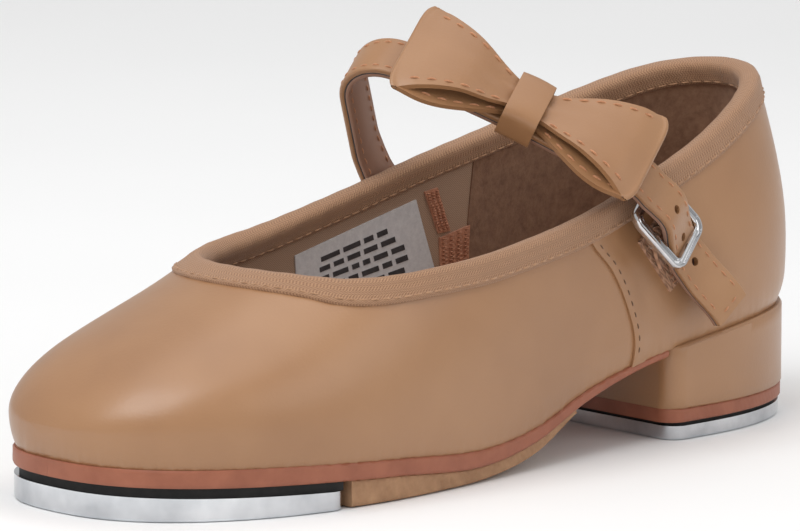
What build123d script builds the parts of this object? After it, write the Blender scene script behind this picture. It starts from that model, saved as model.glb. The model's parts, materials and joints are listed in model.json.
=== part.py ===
from build123d import *
import math
import os

# Child's left tap shoe with a strap, bow and buckle. Millimetres. The taps rest on z = 0, the
# toe points to -Y and the buckle (outer) side of the foot is +X.

# ---------------------------------------------------------------- driving dimensions
toe_y = -91.0              # tip of the toe
heel_y = 91.0              # back of the heel seat
ball_half = {1: 34.0, -1: 32.0}    # half widths at the ball of the foot: outer side, inner side
heel_half = {1: 26.0, -1: 24.5}    # half widths at the heel
waist_from = {1: -38.0, -1: -48.0}  # where the ball starts to narrow
waist_to = {1: 42.0, -1: 22.0}      # where the heel width is reached

upper_thick = 1.2          # outer material
lining_start = 2.0         # depth of the lining's outer side below the outer surface
lining_end = 2.8           # depth of its inner side
binding_height = 4.5       # visible height of the tape round the opening
binding_proud = 0.7        # how far the tape stands off the wall and over its edge
margin_thick = 1.2         # upper folded under the foot bed
margin_width = 8.0
insole_thick = 2.0
sock_thick = 0.9
heel_pad_thick = 1.3

breast_y = 44.0            # front face of the heel
heel_tap_thick = 2.9
heel_board_thick = 0.8
lift_thick = 2.7
cover_thick = 0.9
toe_tap_back = -47.0       # straight back edge of the toe tap

strap_width = 9.5
strap_thick = 2.2          # outer layer and lining together
strap_split = -0.1         # where the two layers meet, from the strap's middle
joint_gap = 0.5            # room round the ends where the strap flexes

centre_shift = (-2.8, -1.0, 0.0)   # puts the middle of the whole shoe over the origin

# side profiles as (y, z) stations
sole_top_line = [(-91, 9.9), (-60, 9.3), (-35, 8.0), (-12, 6.4), (5, 8.3), (20, 13.1),
                 (35, 16.7), (50, 19.4), (70, 21.8), (94, 23.0)]
sole_bottom_line = [(-91, 6.8), (-60, 6.0), (-35, 4.9), (-12, 3.3), (5, 5.6), (20, 11.1),
                    (35, 15.3), (50, 18.3)]
tap_top_line = [(-91, 4.9), (-70, 4.4), (-47, 3.7)]
pad_bottom_line = [(-48, 0.3), (-24, 0.3), (-8, 0.8), (6, 3.4), (18, 9.2)]
outer_topline = [(-62, 42.2), (-50, 42.2), (-38, 41.2), (-20, 42.2), (0, 44.0), (24, 48.0),
                 (50, 56.0), (72, 64.5), (90, 71.0)]
inner_topline = [(-62, 42.2), (-50, 42.2), (-35, 42.8), (-20, 44.4), (0, 49.0), (20, 54.6),
                 (40, 59.4), (62, 64.8), (78, 69.0), (90, 71.0)]
seam_line = [(18, 70.0), (19, 52.0), (21.5, 43.0), (27, 37.0), (31, 30.0), (33.6, 22.0), (34, 2.0)]

os.makedirs("parts", exist_ok=True)


# ---------------------------------------------------------------- shape of the foot form
def smooth(t):
    t = min(max(t, 0.0), 1.0)
    return 0.5 - 0.5 * math.cos(math.pi * t)


def on_line(line, y):
    """Height of a side profile at y: smooth between its stations."""
    y = min(max(y, line[0][0]), line[-1][0])
    n = max(i for i in range(len(line) - 1) if line[i][0] <= y)

    def slope(i):
        low = max(i - 1, 0)
        high = min(i + 1, len(line) - 1)
        return (line[high][1] - line[low][1]) / (line[high][0] - line[low][0])

    (y0, z0), (y1, z1) = line[n], line[n + 1]
    step = y1 - y0
    t = (y - y0) / step
    return ((2 * t**3 - 3 * t**2 + 1) * z0 + (t**3 - 2 * t**2 + t) * step * slope(n)
            + (3 * t**2 - 2 * t**3) * z1 + (t**3 - t**2) * step * slope(n + 1))


def middle_x(y):
    """The toe turns a little to the inner side."""
    return -5.0 * max((-35 - y) / 56, 0.0) ** 1.5


def half_width(y, side, z, back):
    """Half width of the form at y, closed round the toe and round the heel's back."""
    w = ball_half[side] + (heel_half[side] - ball_half[side]) * smooth(
        (y - waist_from[side]) / (waist_to[side] - waist_from[side]))
    if side < 0:
        w -= 1.6 * math.exp(-((y - 25) / 18) ** 2)
    w *= 1 - 0.26 * smooth((z - 30) / 48) * smooth((y - 5) / 60)
    toe = min(max((-38 - y) / (-38 - toe_y), 0.0), 1.0)
    heel = min(max((y - 54) / (back - 54), 0.0), 1.0)
    return w * (1 - toe**2.5) ** 0.4 * (1 - heel**2.2) ** 0.4545


def ridge_height(y):
    """Height of the form's top line: round toe, then the rising instep."""
    d = max(y - toe_y, 0.0)
    t = min(d / 34, 1.0)
    return 15 + 14.5 * math.sqrt(1 - (1 - t) ** 2) + 0.24 * d + 0.006 * max(y + 72, 0.0) ** 2


def toe_end(z):
    """Foremost y of the form at height z."""
    low, high = toe_y, heel_y
    if ridge_height(low) >= z:
        return low
    for _ in range(40):
        mid = (low + high) / 2
        if ridge_height(mid) < z:
            low = mid
        else:
            high = mid
    return low


def heel_end(z):
    """Rearmost y at height z: fullest at the heel bone, drawn in at the opening."""
    return 92.8 - 1.8 * (max(40 - z, 0.0) / 20) ** 2 - 7.0 * (max(z - 40, 0.0) / 31) ** 1.7


def slice_outline(z, inset, flat=False, count=17):
    """Closed outline of the form at height z, moved in by inset. flat leaves out the tuck
    below the widest level and gives the plan of the bottom pieces."""
    level = z + 0.5 * inset
    front = toe_end(level)
    back = heel_end(max(level, 22.0))
    points = []
    for side, steps in ((1, range(count)), (-1, range(count - 2, 0, -1))):
        for i in steps:
            y = (front + back) / 2 - (back - front) / 2 * math.cos(math.pi * i / (count - 1))
            widest = on_line(sole_top_line, y) + 6.5
            q = min(max((level - widest) / max(ridge_height(y) - widest, 1.0), 0.0), 1.0)
            x = middle_x(y) + side * half_width(y, side, level, back) * (1 - q**2.2) ** 0.4545
            tuck = 0.0 if flat else 1.3 * min(max((widest - level) / 6.5, 0.0), 1.0) ** 2
            points.append((x, y, inset + tuck))
    points = points[count // 2:] + points[:count // 2]
    moved = []
    for i in range(len(points)):
        x, y, depth = points[i]
        before = points[i - 1]
        after = points[(i + 1) % len(points)]
        dx = after[0] - before[0]
        dy = after[1] - before[1]
        length = math.hypot(dx, dy)
        moved.append((x - depth * dy / length, y + depth * dx / length))
    return moved


def form(inset):
    """Solid foot form, moved in by inset all round."""
    levels = (3, 8, 13, 18, 23, 28, 33, 37, 41, 46, 52, 60, 68, 76)
    with BuildPart() as solid:
        for z in levels:
            with BuildSketch(Plane.XY.offset(z)):
                with BuildLine():
                    Spline(*slice_outline(z, inset), periodic=True)
                make_face()
        loft()
    return solid.part


def plan_block(inset, low=-1.0, high=40.0):
    """Upright block with the plan outline of the sole."""
    with BuildPart() as block:
        with BuildSketch(Plane.XY.offset(low)):
            with BuildLine():
                Spline(*slice_outline(10.0, inset, flat=True), periodic=True)
            make_face()
        extrude(amount=high - low)
    return block.part


def profile_outline(top, bottom):
    """Outline under a side profile, given as points, down to a level."""
    Spline(*top)
    Line(top[-1], (top[-1][0], bottom))
    Line((top[-1][0], bottom), (top[0][0], bottom))
    Line((top[0][0], bottom), top[0])


def below_line(line, shift=0.0, y_from=-100.0, y_to=100.0, count=25):
    """Everything below a side profile moved up by shift."""
    ys = [y_from + (y_to - y_from) * i / (count - 1) for i in range(count)]
    with BuildPart() as block:
        with BuildSketch(Plane.YZ):
            with BuildLine():
                profile_outline([(y, on_line(line, y) + shift) for y in ys], -30.0)
            make_face()
        extrude(amount=60, both=True)
    return block.part


def box_between(xs, ys, zs):
    """Plain box given by its extent along each axis."""
    (x0, x1), (y0, y1), (z0, z1) = xs, ys, zs
    with BuildPart() as block:
        with Locations(((x0 + x1) / 2, (y0 + y1) / 2, (z0 + z1) / 2)):
            Box(x1 - x0, y1 - y0, z1 - z0)
    return block.part


def drop_share(y):
    """Share of a drop below the opening's edge that is used at y: the upper lies flatter at the
    throat, so less height gives the same width of tape there."""
    return 0.42 + 0.58 * smooth((y + 52) / 45)


def below_topline(shift, count=27):
    """Everything below the opening's edge moved up by shift. The edge is higher on the inner
    side, and blends across the heel and the throat."""
    ys = [-100 + 200 * i / (count - 1) for i in range(count)]
    with BuildPart() as block:
        for x, line in ((60, outer_topline), (21, outer_topline), (-21, inner_topline),
                        (-60, inner_topline)):
            with BuildSketch(Plane.YZ.offset(x)):
                with BuildLine():
                    profile_outline([(y, on_line(line, y) + (shift if shift > 0 else shift * drop_share(y)))
                                     for y in ys], -5.0)
                make_face()
        loft(ruled=True)
    return block.part


def save(part, name):
    """Writes a piece with the origin under the middle of the whole shoe."""
    placed = part.moved(Location(centre_shift))
    placed.label = name
    export_step(placed, f"parts/{name}.step")


# ---------------------------------------------------------------- cutting blocks
outer_form = form(0.0)
upper_back = form(upper_thick)
lining_front = form(lining_start)
lining_back = form(lining_end)
trim_back = form(lining_end + 0.3)     # inner side of the label, tape and patch
under_edge = below_topline(0.0)
sole_top = below_line(sole_top_line)
margin_top = below_line(sole_top_line, margin_thick)
margin_hole = plan_block(1.6 + margin_width, -2.0, 40.0)

with BuildPart() as vamp_zone_builder:
    with BuildSketch(Plane.YZ):
        with BuildLine():
            Spline(*seam_line)
            Line(seam_line[-1], (-110, 2))
            Line((-110, 2), (-110, 70))
            Line((-110, 70), seam_line[0])
        make_face()
    extrude(amount=60, both=True)
vamp_zone = vamp_zone_builder.part

# the room inside the upper: the cavity above the folded margin, and the hole in the margin
with BuildPart() as upper_room:
    add(upper_back)
    add(margin_top, mode=Mode.SUBTRACT)
with BuildPart() as margin_room:
    add(margin_hole)
    add(below_line(sole_top_line, margin_thick + 1.0), mode=Mode.INTERSECT)

# ---------------------------------------------------------------- upper
with BuildPart() as vamp:
    add(outer_form)
    add(under_edge, mode=Mode.INTERSECT)
    add(sole_top, mode=Mode.SUBTRACT)
    add(vamp_zone, mode=Mode.INTERSECT)
    add(upper_room.part, mode=Mode.SUBTRACT)
    add(margin_room.part, mode=Mode.SUBTRACT)
save(vamp.part, "vamp")

for side, name in ((1, "quarter_outer"), (-1, "quarter_inner")):
    with BuildPart() as quarter:
        add(outer_form)
        add(under_edge, mode=Mode.INTERSECT)
        add(sole_top, mode=Mode.SUBTRACT)
        add(vamp_zone, mode=Mode.SUBTRACT)
        add(box_between(sorted((0, side * 60)), (-10, 110), (0, 90)), mode=Mode.INTERSECT)
        add(upper_room.part, mode=Mode.SUBTRACT)
        add(margin_room.part, mode=Mode.SUBTRACT)
    save(quarter.part, name)

# ---------------------------------------------------------------- lining and stiffeners
lining_seam_y = 33.0
for name, y_from, y_to in (("vamp_lining", -100, lining_seam_y), ("quarter_lining", lining_seam_y, 100)):
    with BuildPart() as lining:
        add(lining_front)
        add(under_edge, mode=Mode.INTERSECT)
        add(margin_top, mode=Mode.SUBTRACT)
        add(box_between((-60, 60), (y_from, y_to), (0, 90)), mode=Mode.INTERSECT)
        add(lining_back, mode=Mode.SUBTRACT)
    save(lining.part, name)

for name, y_from, y_to, top in (("toe_puff", -100, -60, 33), ("heel_counter", 40, 100, 56)):
    with BuildPart() as stiffener:
        add(upper_back)
        add(below_topline(-binding_height - 3.0), mode=Mode.INTERSECT)
        add(margin_top, mode=Mode.SUBTRACT)
        add(box_between((-60, 60), (y_from, y_to), (0, top)), mode=Mode.INTERSECT)
        add(lining_front, mode=Mode.SUBTRACT)
    save(stiffener.part, name)

# trims stitched to the lining on the inner side, each a flat outline as (y, z) corners: care
# label, the tape over its edge and the patch over the strap's stitching
trims = (("care_label", ((-12, 38.5), (17, 46.8), (22.6, 31.5), (-9, 25.5))),
         ("lining_tape", ((19, 48.2), (22.2, 48.8), (26.3, 39.4), (23.1, 39.2))),
         ("strap_patch", ((23.5, 38.2), (31.7, 40), (31.7, 30.5), (24.3, 29.5))))
for name, corners in trims:
    with BuildPart() as trim:
        with BuildSketch(Plane.YZ.offset(-60)):
            Polygon(*corners, align=None)
        extrude(amount=55)
        add(lining_back, mode=Mode.INTERSECT)
        add(trim_back, mode=Mode.SUBTRACT)
    save(trim.part, name)

# ---------------------------------------------------------------- binding tape
with BuildPart() as edge_wall:
    add(outer_form)
    add(under_edge, mode=Mode.INTERSECT)
    add(below_topline(-binding_height - 3.0), mode=Mode.SUBTRACT)
    add(lining_back, mode=Mode.SUBTRACT)
with BuildPart() as topline_binding:
    add(form(-binding_proud))
    add(below_topline(binding_proud), mode=Mode.INTERSECT)
    add(below_topline(-binding_height), mode=Mode.SUBTRACT)
    add(form(lining_end + 0.6), mode=Mode.SUBTRACT)
    add(edge_wall.part, mode=Mode.SUBTRACT)
save(topline_binding.part, "topline_binding")

# ---------------------------------------------------------------- foot bed, shank, filler
shank_low = below_line(sole_top_line, 0.1)
shank_high = below_line(sole_top_line, margin_thick - 0.1)
with BuildPart() as shank:
    add(shank_high)
    add(shank_low, mode=Mode.SUBTRACT)
    add(box_between((-5, 7), (-6, 62), (0, 40)), mode=Mode.INTERSECT)
save(shank.part, "shank")

with BuildPart() as bottom_filler:
    add(margin_top)
    add(sole_top, mode=Mode.SUBTRACT)
    add(plan_block(2.0 + margin_width, -2.0, 41.0), mode=Mode.INTERSECT)
    add(shank.part, mode=Mode.SUBTRACT)

board_top = margin_thick + insole_thick
sock_top = board_top + sock_thick
pad_top = sock_top + heel_pad_thick
foot_bed = []
for name, low, high in (("insole_board", margin_thick, board_top), ("sock_liner", board_top, sock_top)):
    with BuildPart() as bed:
        add(trim_back)
        add(below_line(sole_top_line, high), mode=Mode.INTERSECT)
        add(below_line(sole_top_line, low), mode=Mode.SUBTRACT)
    foot_bed.append(bed.part)
insole_board, sock_liner = foot_bed
save(sock_liner, "sock_liner")

with BuildPart() as heel_pad:
    add(form(7.0))
    add(below_line(sole_top_line, pad_top), mode=Mode.INTERSECT)
    add(below_line(sole_top_line, sock_top), mode=Mode.SUBTRACT)
    add(box_between((-60, 60), (40, 100), (0, 90)), mode=Mode.INTERSECT)
save(heel_pad.part, "heel_pad")

# ---------------------------------------------------------------- sole and toe tap
sole_bottom = below_line(sole_bottom_line)


def plan_part(inset, y_from, y_to, z_from, z_to, corner=0.0):
    """Upright piece with the sole's plan outline between two y values, its square corners
    rounded."""
    with BuildPart() as piece:
        with BuildSketch(Plane.XY.offset(z_from)) as plan:
            with BuildLine():
                Spline(*slice_outline(10.0, inset, flat=True), periodic=True)
            make_face()
            with Locations((0, (y_from + y_to) / 2)):
                Rectangle(120, y_to - y_from, mode=Mode.INTERSECT)
            if corner:
                fillet(plan.vertices(), corner)
        extrude(amount=z_to - z_from)
    return piece.part


toe_screw_spots = ((-4.5, -83.0), (-20.5, -56.0), (17.5, -56.0))
heel_screw_spots = ((0.5, 84.5), (-14.5, 54.0), (15.5, 54.0))


def screws(spots, length):
    """Countersunk screws driven up into the sole, heads just inside the tap's face."""
    with BuildPart() as piece:
        for x, y in spots:
            with Locations((x, y, 0.3)):
                Cylinder(2.4, 1.3, align=(Align.CENTER, Align.CENTER, Align.MIN))
                Cylinder(1.2, length, align=(Align.CENTER, Align.CENTER, Align.MIN))
    return piece.part


def screw_room(spots, length):
    """Countersunk holes: the screws themselves and the opening below each head."""
    with BuildPart() as piece:
        add(screws(spots, length))
        for x, y in spots:
            with Locations((x, y, -1)):
                Cylinder(2.4, 1.4, align=(Align.CENTER, Align.CENTER, Align.MIN))
    return piece.part


toe_screws = screws(toe_screw_spots, 8.0)
toe_room = screw_room(toe_screw_spots, 8.0)
heel_screws = screws(heel_screw_spots, 11.0)
heel_room = screw_room(heel_screw_spots, 11.0)

with BuildPart() as outsole:
    add(plan_part(0.7, -95, breast_y, 0.0, 30.0))
    add(sole_top, mode=Mode.INTERSECT)
    add(sole_bottom, mode=Mode.SUBTRACT)
    add(toe_room, mode=Mode.SUBTRACT)
save(outsole.part, "outsole")

with BuildPart() as toe_tap_board:
    add(plan_part(1.9, -95, toe_tap_back - 1.0, 0.0, 12.0))
    add(sole_bottom, mode=Mode.INTERSECT)
    add(below_line(tap_top_line), mode=Mode.SUBTRACT)
    add(toe_room, mode=Mode.SUBTRACT)
save(toe_tap_board.part, "toe_tap_board")

with BuildPart() as toe_tap:
    add(plan_part(0.9, -95, toe_tap_back, 0.0, 12.0, corner=3.5))
    add(below_line(tap_top_line), mode=Mode.INTERSECT)
    fillet(toe_tap.faces().sort_by(Axis.Z)[0].edges(), 0.6)
    add(toe_room, mode=Mode.SUBTRACT)
save(toe_tap.part, "toe_tap")
save(toe_screws, "toe_tap_screws")

with BuildPart() as sole_pad:
    add(plan_part(1.6, toe_tap_back + 0.7, 18, 0.0, 12.0))
    add(sole_bottom, mode=Mode.INTERSECT)
    add(below_line(pad_bottom_line, 0, -60, 18.2), mode=Mode.SUBTRACT)
save(sole_pad.part, "sole_pad")

# ---------------------------------------------------------------- heel and heel tap
lift_low = heel_tap_thick + heel_board_thick
lift_high = lift_low + lift_thick
with BuildPart() as heel_core:
    add(plan_part(0.6, breast_y + cover_thick, 100, lift_high, 30.0, corner=3.0))
    add(sole_top, mode=Mode.INTERSECT)
with BuildPart() as heel_cover:
    add(plan_part(0.6 - cover_thick, breast_y, 100, lift_high, 30.0, corner=3.6))
    add(sole_top, mode=Mode.INTERSECT)
    add(plan_part(0.6, breast_y + cover_thick, 100, lift_high - 1, 31.0, corner=3.0), mode=Mode.SUBTRACT)
save(heel_cover.part, "heel_cover")

with BuildPart() as heel_lift:
    add(plan_part(-0.1, breast_y + 0.2, 100, lift_low, lift_high, corner=3.5))
    add(heel_room, mode=Mode.SUBTRACT)
save(heel_lift.part, "heel_lift")
with BuildPart() as heel_tap_board:
    add(plan_part(1.1, breast_y + 1.6, 100, heel_tap_thick, lift_low, corner=3.5))
    add(heel_room, mode=Mode.SUBTRACT)
save(heel_tap_board.part, "heel_tap_board")
with BuildPart() as heel_tap:
    add(plan_part(0.3, breast_y + 0.8, 100, 0.0, heel_tap_thick, corner=4.0))
    fillet(heel_tap.faces().sort_by(Axis.Z)[0].edges(), 0.6)
    add(heel_room, mode=Mode.SUBTRACT)
save(heel_tap.part, "heel_tap")
save(heel_screws, "heel_tap_screws")

# fixings from inside the shoe: one screw and four nails through the insole board into the heel
with BuildPart() as heel_screw:
    with Locations((0, 66, 10)):
        Cylinder(2.0, 14.2, align=(Align.CENTER, Align.CENTER, Align.MIN))
    with Locations((0, 66, on_line(sole_top_line, 66) + board_top - 1.95)):
        Cylinder(3.8, 1.2, align=(Align.CENTER, Align.CENTER, Align.MIN))
save(heel_screw.part, "heel_screw")
with BuildPart() as heel_nails:
    for x, y in ((-12, 54), (13, 54), (-5, 76), (6, 76)):
        with Locations((x, y, 12)):
            Cylinder(0.9, on_line(sole_top_line, y) + board_top - 12.9,
                     align=(Align.CENTER, Align.CENTER, Align.MIN))
save(heel_nails.part, "heel_nails")

for name, block, room in (("heel_core", heel_core.part, heel_room),
                          ("insole_board", insole_board, None), ("bottom_filler", bottom_filler.part, None)):
    with BuildPart() as fixed:
        add(block)
        add(heel_screw.part, mode=Mode.SUBTRACT)
        add(heel_nails.part, mode=Mode.SUBTRACT)
        if room:
            add(room, mode=Mode.SUBTRACT)
    save(fixed.part, name)

# ---------------------------------------------------------------- strap
# Drawn in its own plane, which leans with the strap: s runs across the foot to the outer
# side, r runs up. The strap's width is at right angles to the plane.
strap_plane = Plane(origin=(0, 29.8, 42), x_dir=(0.927, 0.375, 0), z_dir=(0.3106, -0.7687, -0.559))
root_pivot = (-29.7, 8.0)              # where the strap flexes above its sewn end
top_heading = 31.5                     # slope of the strap under the bow, degrees down
top_radius = 200.0
knot_spot = (6.2, 30.05)               # strap's middle under the bow's knot
shoulder_slope = 34.0                  # slope where the top of the strap ends
shoulder_radius = 8.0
end_start = (28.9, 15.0)               # corner between the top line and the straight end
end_lean = 13.0                        # slope of the straight end from straight down, degrees
strap_tip = 35.1                       # distance from end_start to the square tip
hole_spots = (8.4, 15.2, 22.0)
root_bottom = -9.0


def heading_point(centre, radius, angle):
    """Point of an arc over the foot where the strap slopes down by angle degrees."""
    angle = math.radians(angle)
    return (centre[0] + radius * math.sin(angle), centre[1] + radius * math.cos(angle))


top_centre = heading_point(knot_spot, -top_radius, top_heading)
corner_radius = 8.9
corner_end = heading_point(top_centre, top_radius, 24.0)
corner_centre = heading_point(corner_end, -corner_radius, 24.0)
shoulder_turn = 90 - end_lean - shoulder_slope
end_from = shoulder_radius * math.tan(math.radians(shoulder_turn / 2))
shoulder_start = (end_start[0] - end_from * math.cos(math.radians(shoulder_slope)),
                  end_start[1] + end_from * math.sin(math.radians(shoulder_slope)))
lean = math.radians(end_lean)
along = (math.sin(lean), -math.cos(lean))
out = (math.cos(lean), math.sin(lean))


def end_spot(d, n):
    """Point of the strap plane at distance d down the strap's end and n outward from it."""
    return (end_start[0] + d * along[0] + n * out[0], end_start[1] + d * along[1] + n * out[1])


end_pivot = end_spot(end_from, 0)      # where the strap turns down over the side of the foot


def arch_points():
    """Middle line of the strap from the root to the shoulder, each point with its outward
    direction."""
    side = [root_pivot, (-30.8, 13.5), (-31.1, 19.5), (-30.3, 27.0)]
    points = [(s, r, -1.0, 0.05) for s, r in side]
    for angle in (-84, -70, -54, -38, -22, -6, 10):
        s, r = heading_point(corner_centre, corner_radius, angle)
        points.append((s, r, math.sin(math.radians(angle)), math.cos(math.radians(angle))))
    for angle in (24.0, 26.5, 29.0, 31.5, shoulder_slope):
        s, r = heading_point(top_centre, top_radius, angle)
        points.append((s, r, math.sin(math.radians(angle)), math.cos(math.radians(angle))))
    bend = heading_point(shoulder_start, -shoulder_radius, shoulder_slope)
    for angle in (34.0, 45, 56, 67, 77):
        s, r = heading_point(bend, shoulder_radius, angle)
        points.append((s, r, math.sin(math.radians(angle)), math.cos(math.radians(angle))))
    return points


# room that the moving strap and buckle leave round the binding
with BuildPart() as binding_guard:
    add(form(-binding_proud - 0.45))
    add(below_topline(binding_proud + 0.45), mode=Mode.INTERSECT)
    add(box_between((-60, 60), (-40, 75), (30, 70)), mode=Mode.INTERSECT)


def arch_layer(outside, inside):
    """One layer of the arch between two distances from its middle line."""
    points = arch_points()
    with BuildPart() as layer:
        with BuildSketch(strap_plane):
            with BuildLine():
                top = [(s + outside * a, r + outside * b) for s, r, a, b in points]
                low = [(s + inside * a, r + inside * b) for s, r, a, b in points]
                Spline(*top)
                Line(top[-1], low[-1])
                Spline(*low)
                Line(low[0], top[0])
            make_face()
        extrude(amount=strap_width / 2, both=True)
        for spot in (root_pivot, end_pivot):
            with BuildSketch(strap_plane):
                with Locations(spot):
                    Circle(strap_thick / 2 + joint_gap)
            extrude(amount=20, both=True, mode=Mode.SUBTRACT)
        add(binding_guard.part, mode=Mode.SUBTRACT)
    return layer.part


outer_face = strap_thick / 2
save(arch_layer(outer_face, strap_split), "strap_outer")
save(arch_layer(strap_split, -outer_face), "strap_lining")


def in_space(s, r):
    """Point of the strap plane as a point of the shoe."""
    return strap_plane.from_local_coords(Vector(s, r, 0))


end_origin = in_space(*end_start)
end_plane = Plane(origin=end_origin, x_dir=in_space(*end_spot(1, 0)) - end_origin,
                  z_dir=in_space(*end_spot(0, 1)) - end_origin)


def end_rod(d, n, radius, half_length):
    """Round bar across the strap's end, at distance d down it and n outward."""
    with BuildPart() as bar:
        with BuildSketch(Plane(origin=end_plane.from_local_coords(Vector(d, 0, n)), x_dir=end_plane.x_dir,
                               z_dir=end_plane.y_dir)):
            Circle(radius)
        extrude(amount=half_length, both=True)
    return bar.part


for name, outside, inside, other_from, other_to in (
        ("strap_end_outer", outer_face, strap_split, -3.0, strap_split),
        ("strap_end_lining", strap_split, -outer_face, strap_split, 3.0)):
    with BuildPart() as strap_end:
        with BuildSketch(end_plane.offset(inside)):
            with Locations(((end_from + strap_tip) / 2, 0)):
                Rectangle(strap_tip - end_from, strap_width)
        extrude(amount=outside - inside)
        with BuildSketch(strap_plane):
            with Locations(end_pivot):
                Circle(outer_face)
            with BuildLine():
                Polyline(end_spot(end_from - 3, other_from), end_spot(end_from + 3, other_from),
                         end_spot(end_from + 3, other_to), end_spot(end_from - 3, other_to), close=True)
            make_face(mode=Mode.SUBTRACT)
        extrude(amount=strap_width / 2, both=True)
        with BuildSketch(end_plane.offset(-5)):
            with Locations(*[(d, 0) for d in hole_spots]):
                Circle(0.9)
        extrude(amount=10, mode=Mode.SUBTRACT)
    save(strap_end.part, name)

# sewn end of the strap: lies on the inner quarter and stands free near the flex point
with BuildPart() as strap_root:
    with BuildSketch(strap_plane):
        with BuildLine():
            Line((-19.0, root_bottom), (-24.7, root_bottom))
            Spline((-24.7, root_bottom), (-26.0, -2.0), (-28.6, 4.0),
                   (root_pivot[0] - outer_face, root_pivot[1]))
            ThreePointArc((root_pivot[0] - outer_face, root_pivot[1]),
                          (root_pivot[0], root_pivot[1] + outer_face),
                          (root_pivot[0] + outer_face, root_pivot[1]))
            Line((root_pivot[0] + outer_face, root_pivot[1]), (-26.6, 3.2))
            Line((-26.6, 3.2), (-22.0, 0.0))
            Line((-22.0, 0.0), (-19.0, root_bottom))
        make_face()
    extrude(amount=strap_width / 2, both=True)
    add(outer_form, mode=Mode.SUBTRACT)
    add(topline_binding.part, mode=Mode.SUBTRACT)
save(strap_root.part, "strap_root")

# ---------------------------------------------------------------- buckle
buckle_half = 5.1                      # half the room between the side rails
rail = 1.3
outer_bar = (20.3, 3.9)                # each bar as (distance down the strap, distance outward)
centre_bar = (12.1, -2.65)
inner_bar = (4.7, -2.0)
rail_thick = 1.3
loop_outer = 1.25                      # elastic folded round the centre bar
loop_inner = 0.75

with BuildPart() as buckle_frame:
    length = math.hypot(outer_bar[0] - inner_bar[0], outer_bar[1] - inner_bar[1])
    tilt = math.degrees(math.atan2(outer_bar[1] - inner_bar[1], outer_bar[0] - inner_bar[0]))
    ring_n = inner_bar[1] + (centre_bar[0] - inner_bar[0]) * math.tan(math.radians(tilt))
    for side in (1, -1):
        # on this plane n runs down for side 1, since the sketch looks along the strap's width
        rail_plane = Plane(origin=end_plane.from_local_coords(Vector(0, side * buckle_half, 0)),
                           x_dir=end_plane.x_dir, z_dir=end_plane.y_dir * side)
        flip = -side
        with BuildSketch(rail_plane):
            with Locations(Location(((inner_bar[0] + outer_bar[0]) / 2,
                                     flip * (inner_bar[1] + outer_bar[1]) / 2), flip * tilt)):
                SlotCenterToCenter(length, rail_thick)
            with BuildLine():
                Polyline((centre_bar[0] - 2.4, flip * (ring_n - 0.7)),
                         (centre_bar[0] + 2.4, flip * (ring_n + 0.7)),
                         (centre_bar[0] + 0.55, flip * centre_bar[1]),
                         (centre_bar[0] - 0.55, flip * centre_bar[1]), close=True)
            make_face()
            with Locations((centre_bar[0], flip * centre_bar[1])):
                Circle(0.55)
        extrude(amount=rail)
    add(end_rod(*outer_bar, 1.0, buckle_half + 0.5))
    add(end_rod(*inner_bar, 0.6, buckle_half + 0.5))
    add(end_rod(*centre_bar, 0.45, buckle_half + 0.5))
    add(binding_guard.part, mode=Mode.SUBTRACT)
save(buckle_frame.part, "buckle_frame")

# tongue: folded round the centre bar, its pin lying under the strap
pin_end = 21.2
side_plane = Plane(origin=end_origin, x_dir=end_plane.x_dir, z_dir=-end_plane.y_dir)
with BuildPart() as buckle_tongue:
    add(end_rod(*centre_bar, loop_outer, 0.7))
    with BuildSketch(side_plane):
        with Locations(((centre_bar[0] + 0.6 + pin_end) / 2, -2.3)):
            Rectangle(pin_end - centre_bar[0] - 0.6, 0.8)
    extrude(amount=0.45, both=True)
    add(end_rod(*centre_bar, loop_inner, 5), mode=Mode.SUBTRACT)
save(buckle_tongue.part, "buckle_tongue")

# elastic: loop round the centre bar, slit for the tongue, and a tail sewn flat on the quarter
with BuildPart() as tail_outline:
    with BuildSketch(end_plane.offset(-12)):
        Polygon((11.2, 4.6), (11.2, -4.6), (26.0, -7.8), (26.0, 1.4), align=None)
    extrude(amount=12)
with BuildPart() as elastic_tail:
    add(form(-1.0))
    add(tail_outline.part, mode=Mode.INTERSECT)
    add(outer_form, mode=Mode.SUBTRACT)
    add(topline_binding.part, mode=Mode.SUBTRACT)
with BuildPart() as buckle_elastic:
    add(end_rod(*centre_bar, loop_outer, 4.6))
    with BuildSketch(side_plane):
        with BuildLine():
            Polyline((centre_bar[0], centre_bar[1] - 0.3), (centre_bar[0], -5.2), (19.0, -5.2),
                     (19.0, -4.0), (13.8, centre_bar[1] - 0.2), close=True)
        make_face()
    extrude(amount=4.6, both=True)
    add(outer_form, mode=Mode.SUBTRACT)
    add(topline_binding.part, mode=Mode.SUBTRACT)
    add(elastic_tail.part)
    add(end_rod(*centre_bar, loop_inner, 9), mode=Mode.SUBTRACT)
    with BuildSketch(end_plane.offset(-9)):
        with Locations((12, 0)):
            Rectangle(9, 2.2)
    extrude(amount=10, mode=Mode.SUBTRACT)
save(buckle_elastic.part, "buckle_elastic")

# ---------------------------------------------------------------- bow
# Drawn on the strap's outer face under the knot: x down the strap, y across it, z outward.
knot_s, knot_r = knot_spot
tilt = math.radians(top_heading)
knot_down = (math.cos(tilt), -math.sin(tilt))
knot_out = (math.sin(tilt), math.cos(tilt))
bow_origin = in_space(knot_s + outer_face * knot_out[0], knot_r + outer_face * knot_out[1])
bow_x = in_space(knot_s + knot_down[0], knot_r + knot_down[1]) - in_space(*knot_spot)
bow_z = in_space(knot_s + knot_out[0], knot_r + knot_out[1]) - in_space(*knot_spot)
bow_plane = Plane(origin=bow_origin, x_dir=bow_x, z_dir=bow_z)
bow_side = Plane(origin=bow_origin, x_dir=bow_x, z_dir=-bow_plane.y_dir)

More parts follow.
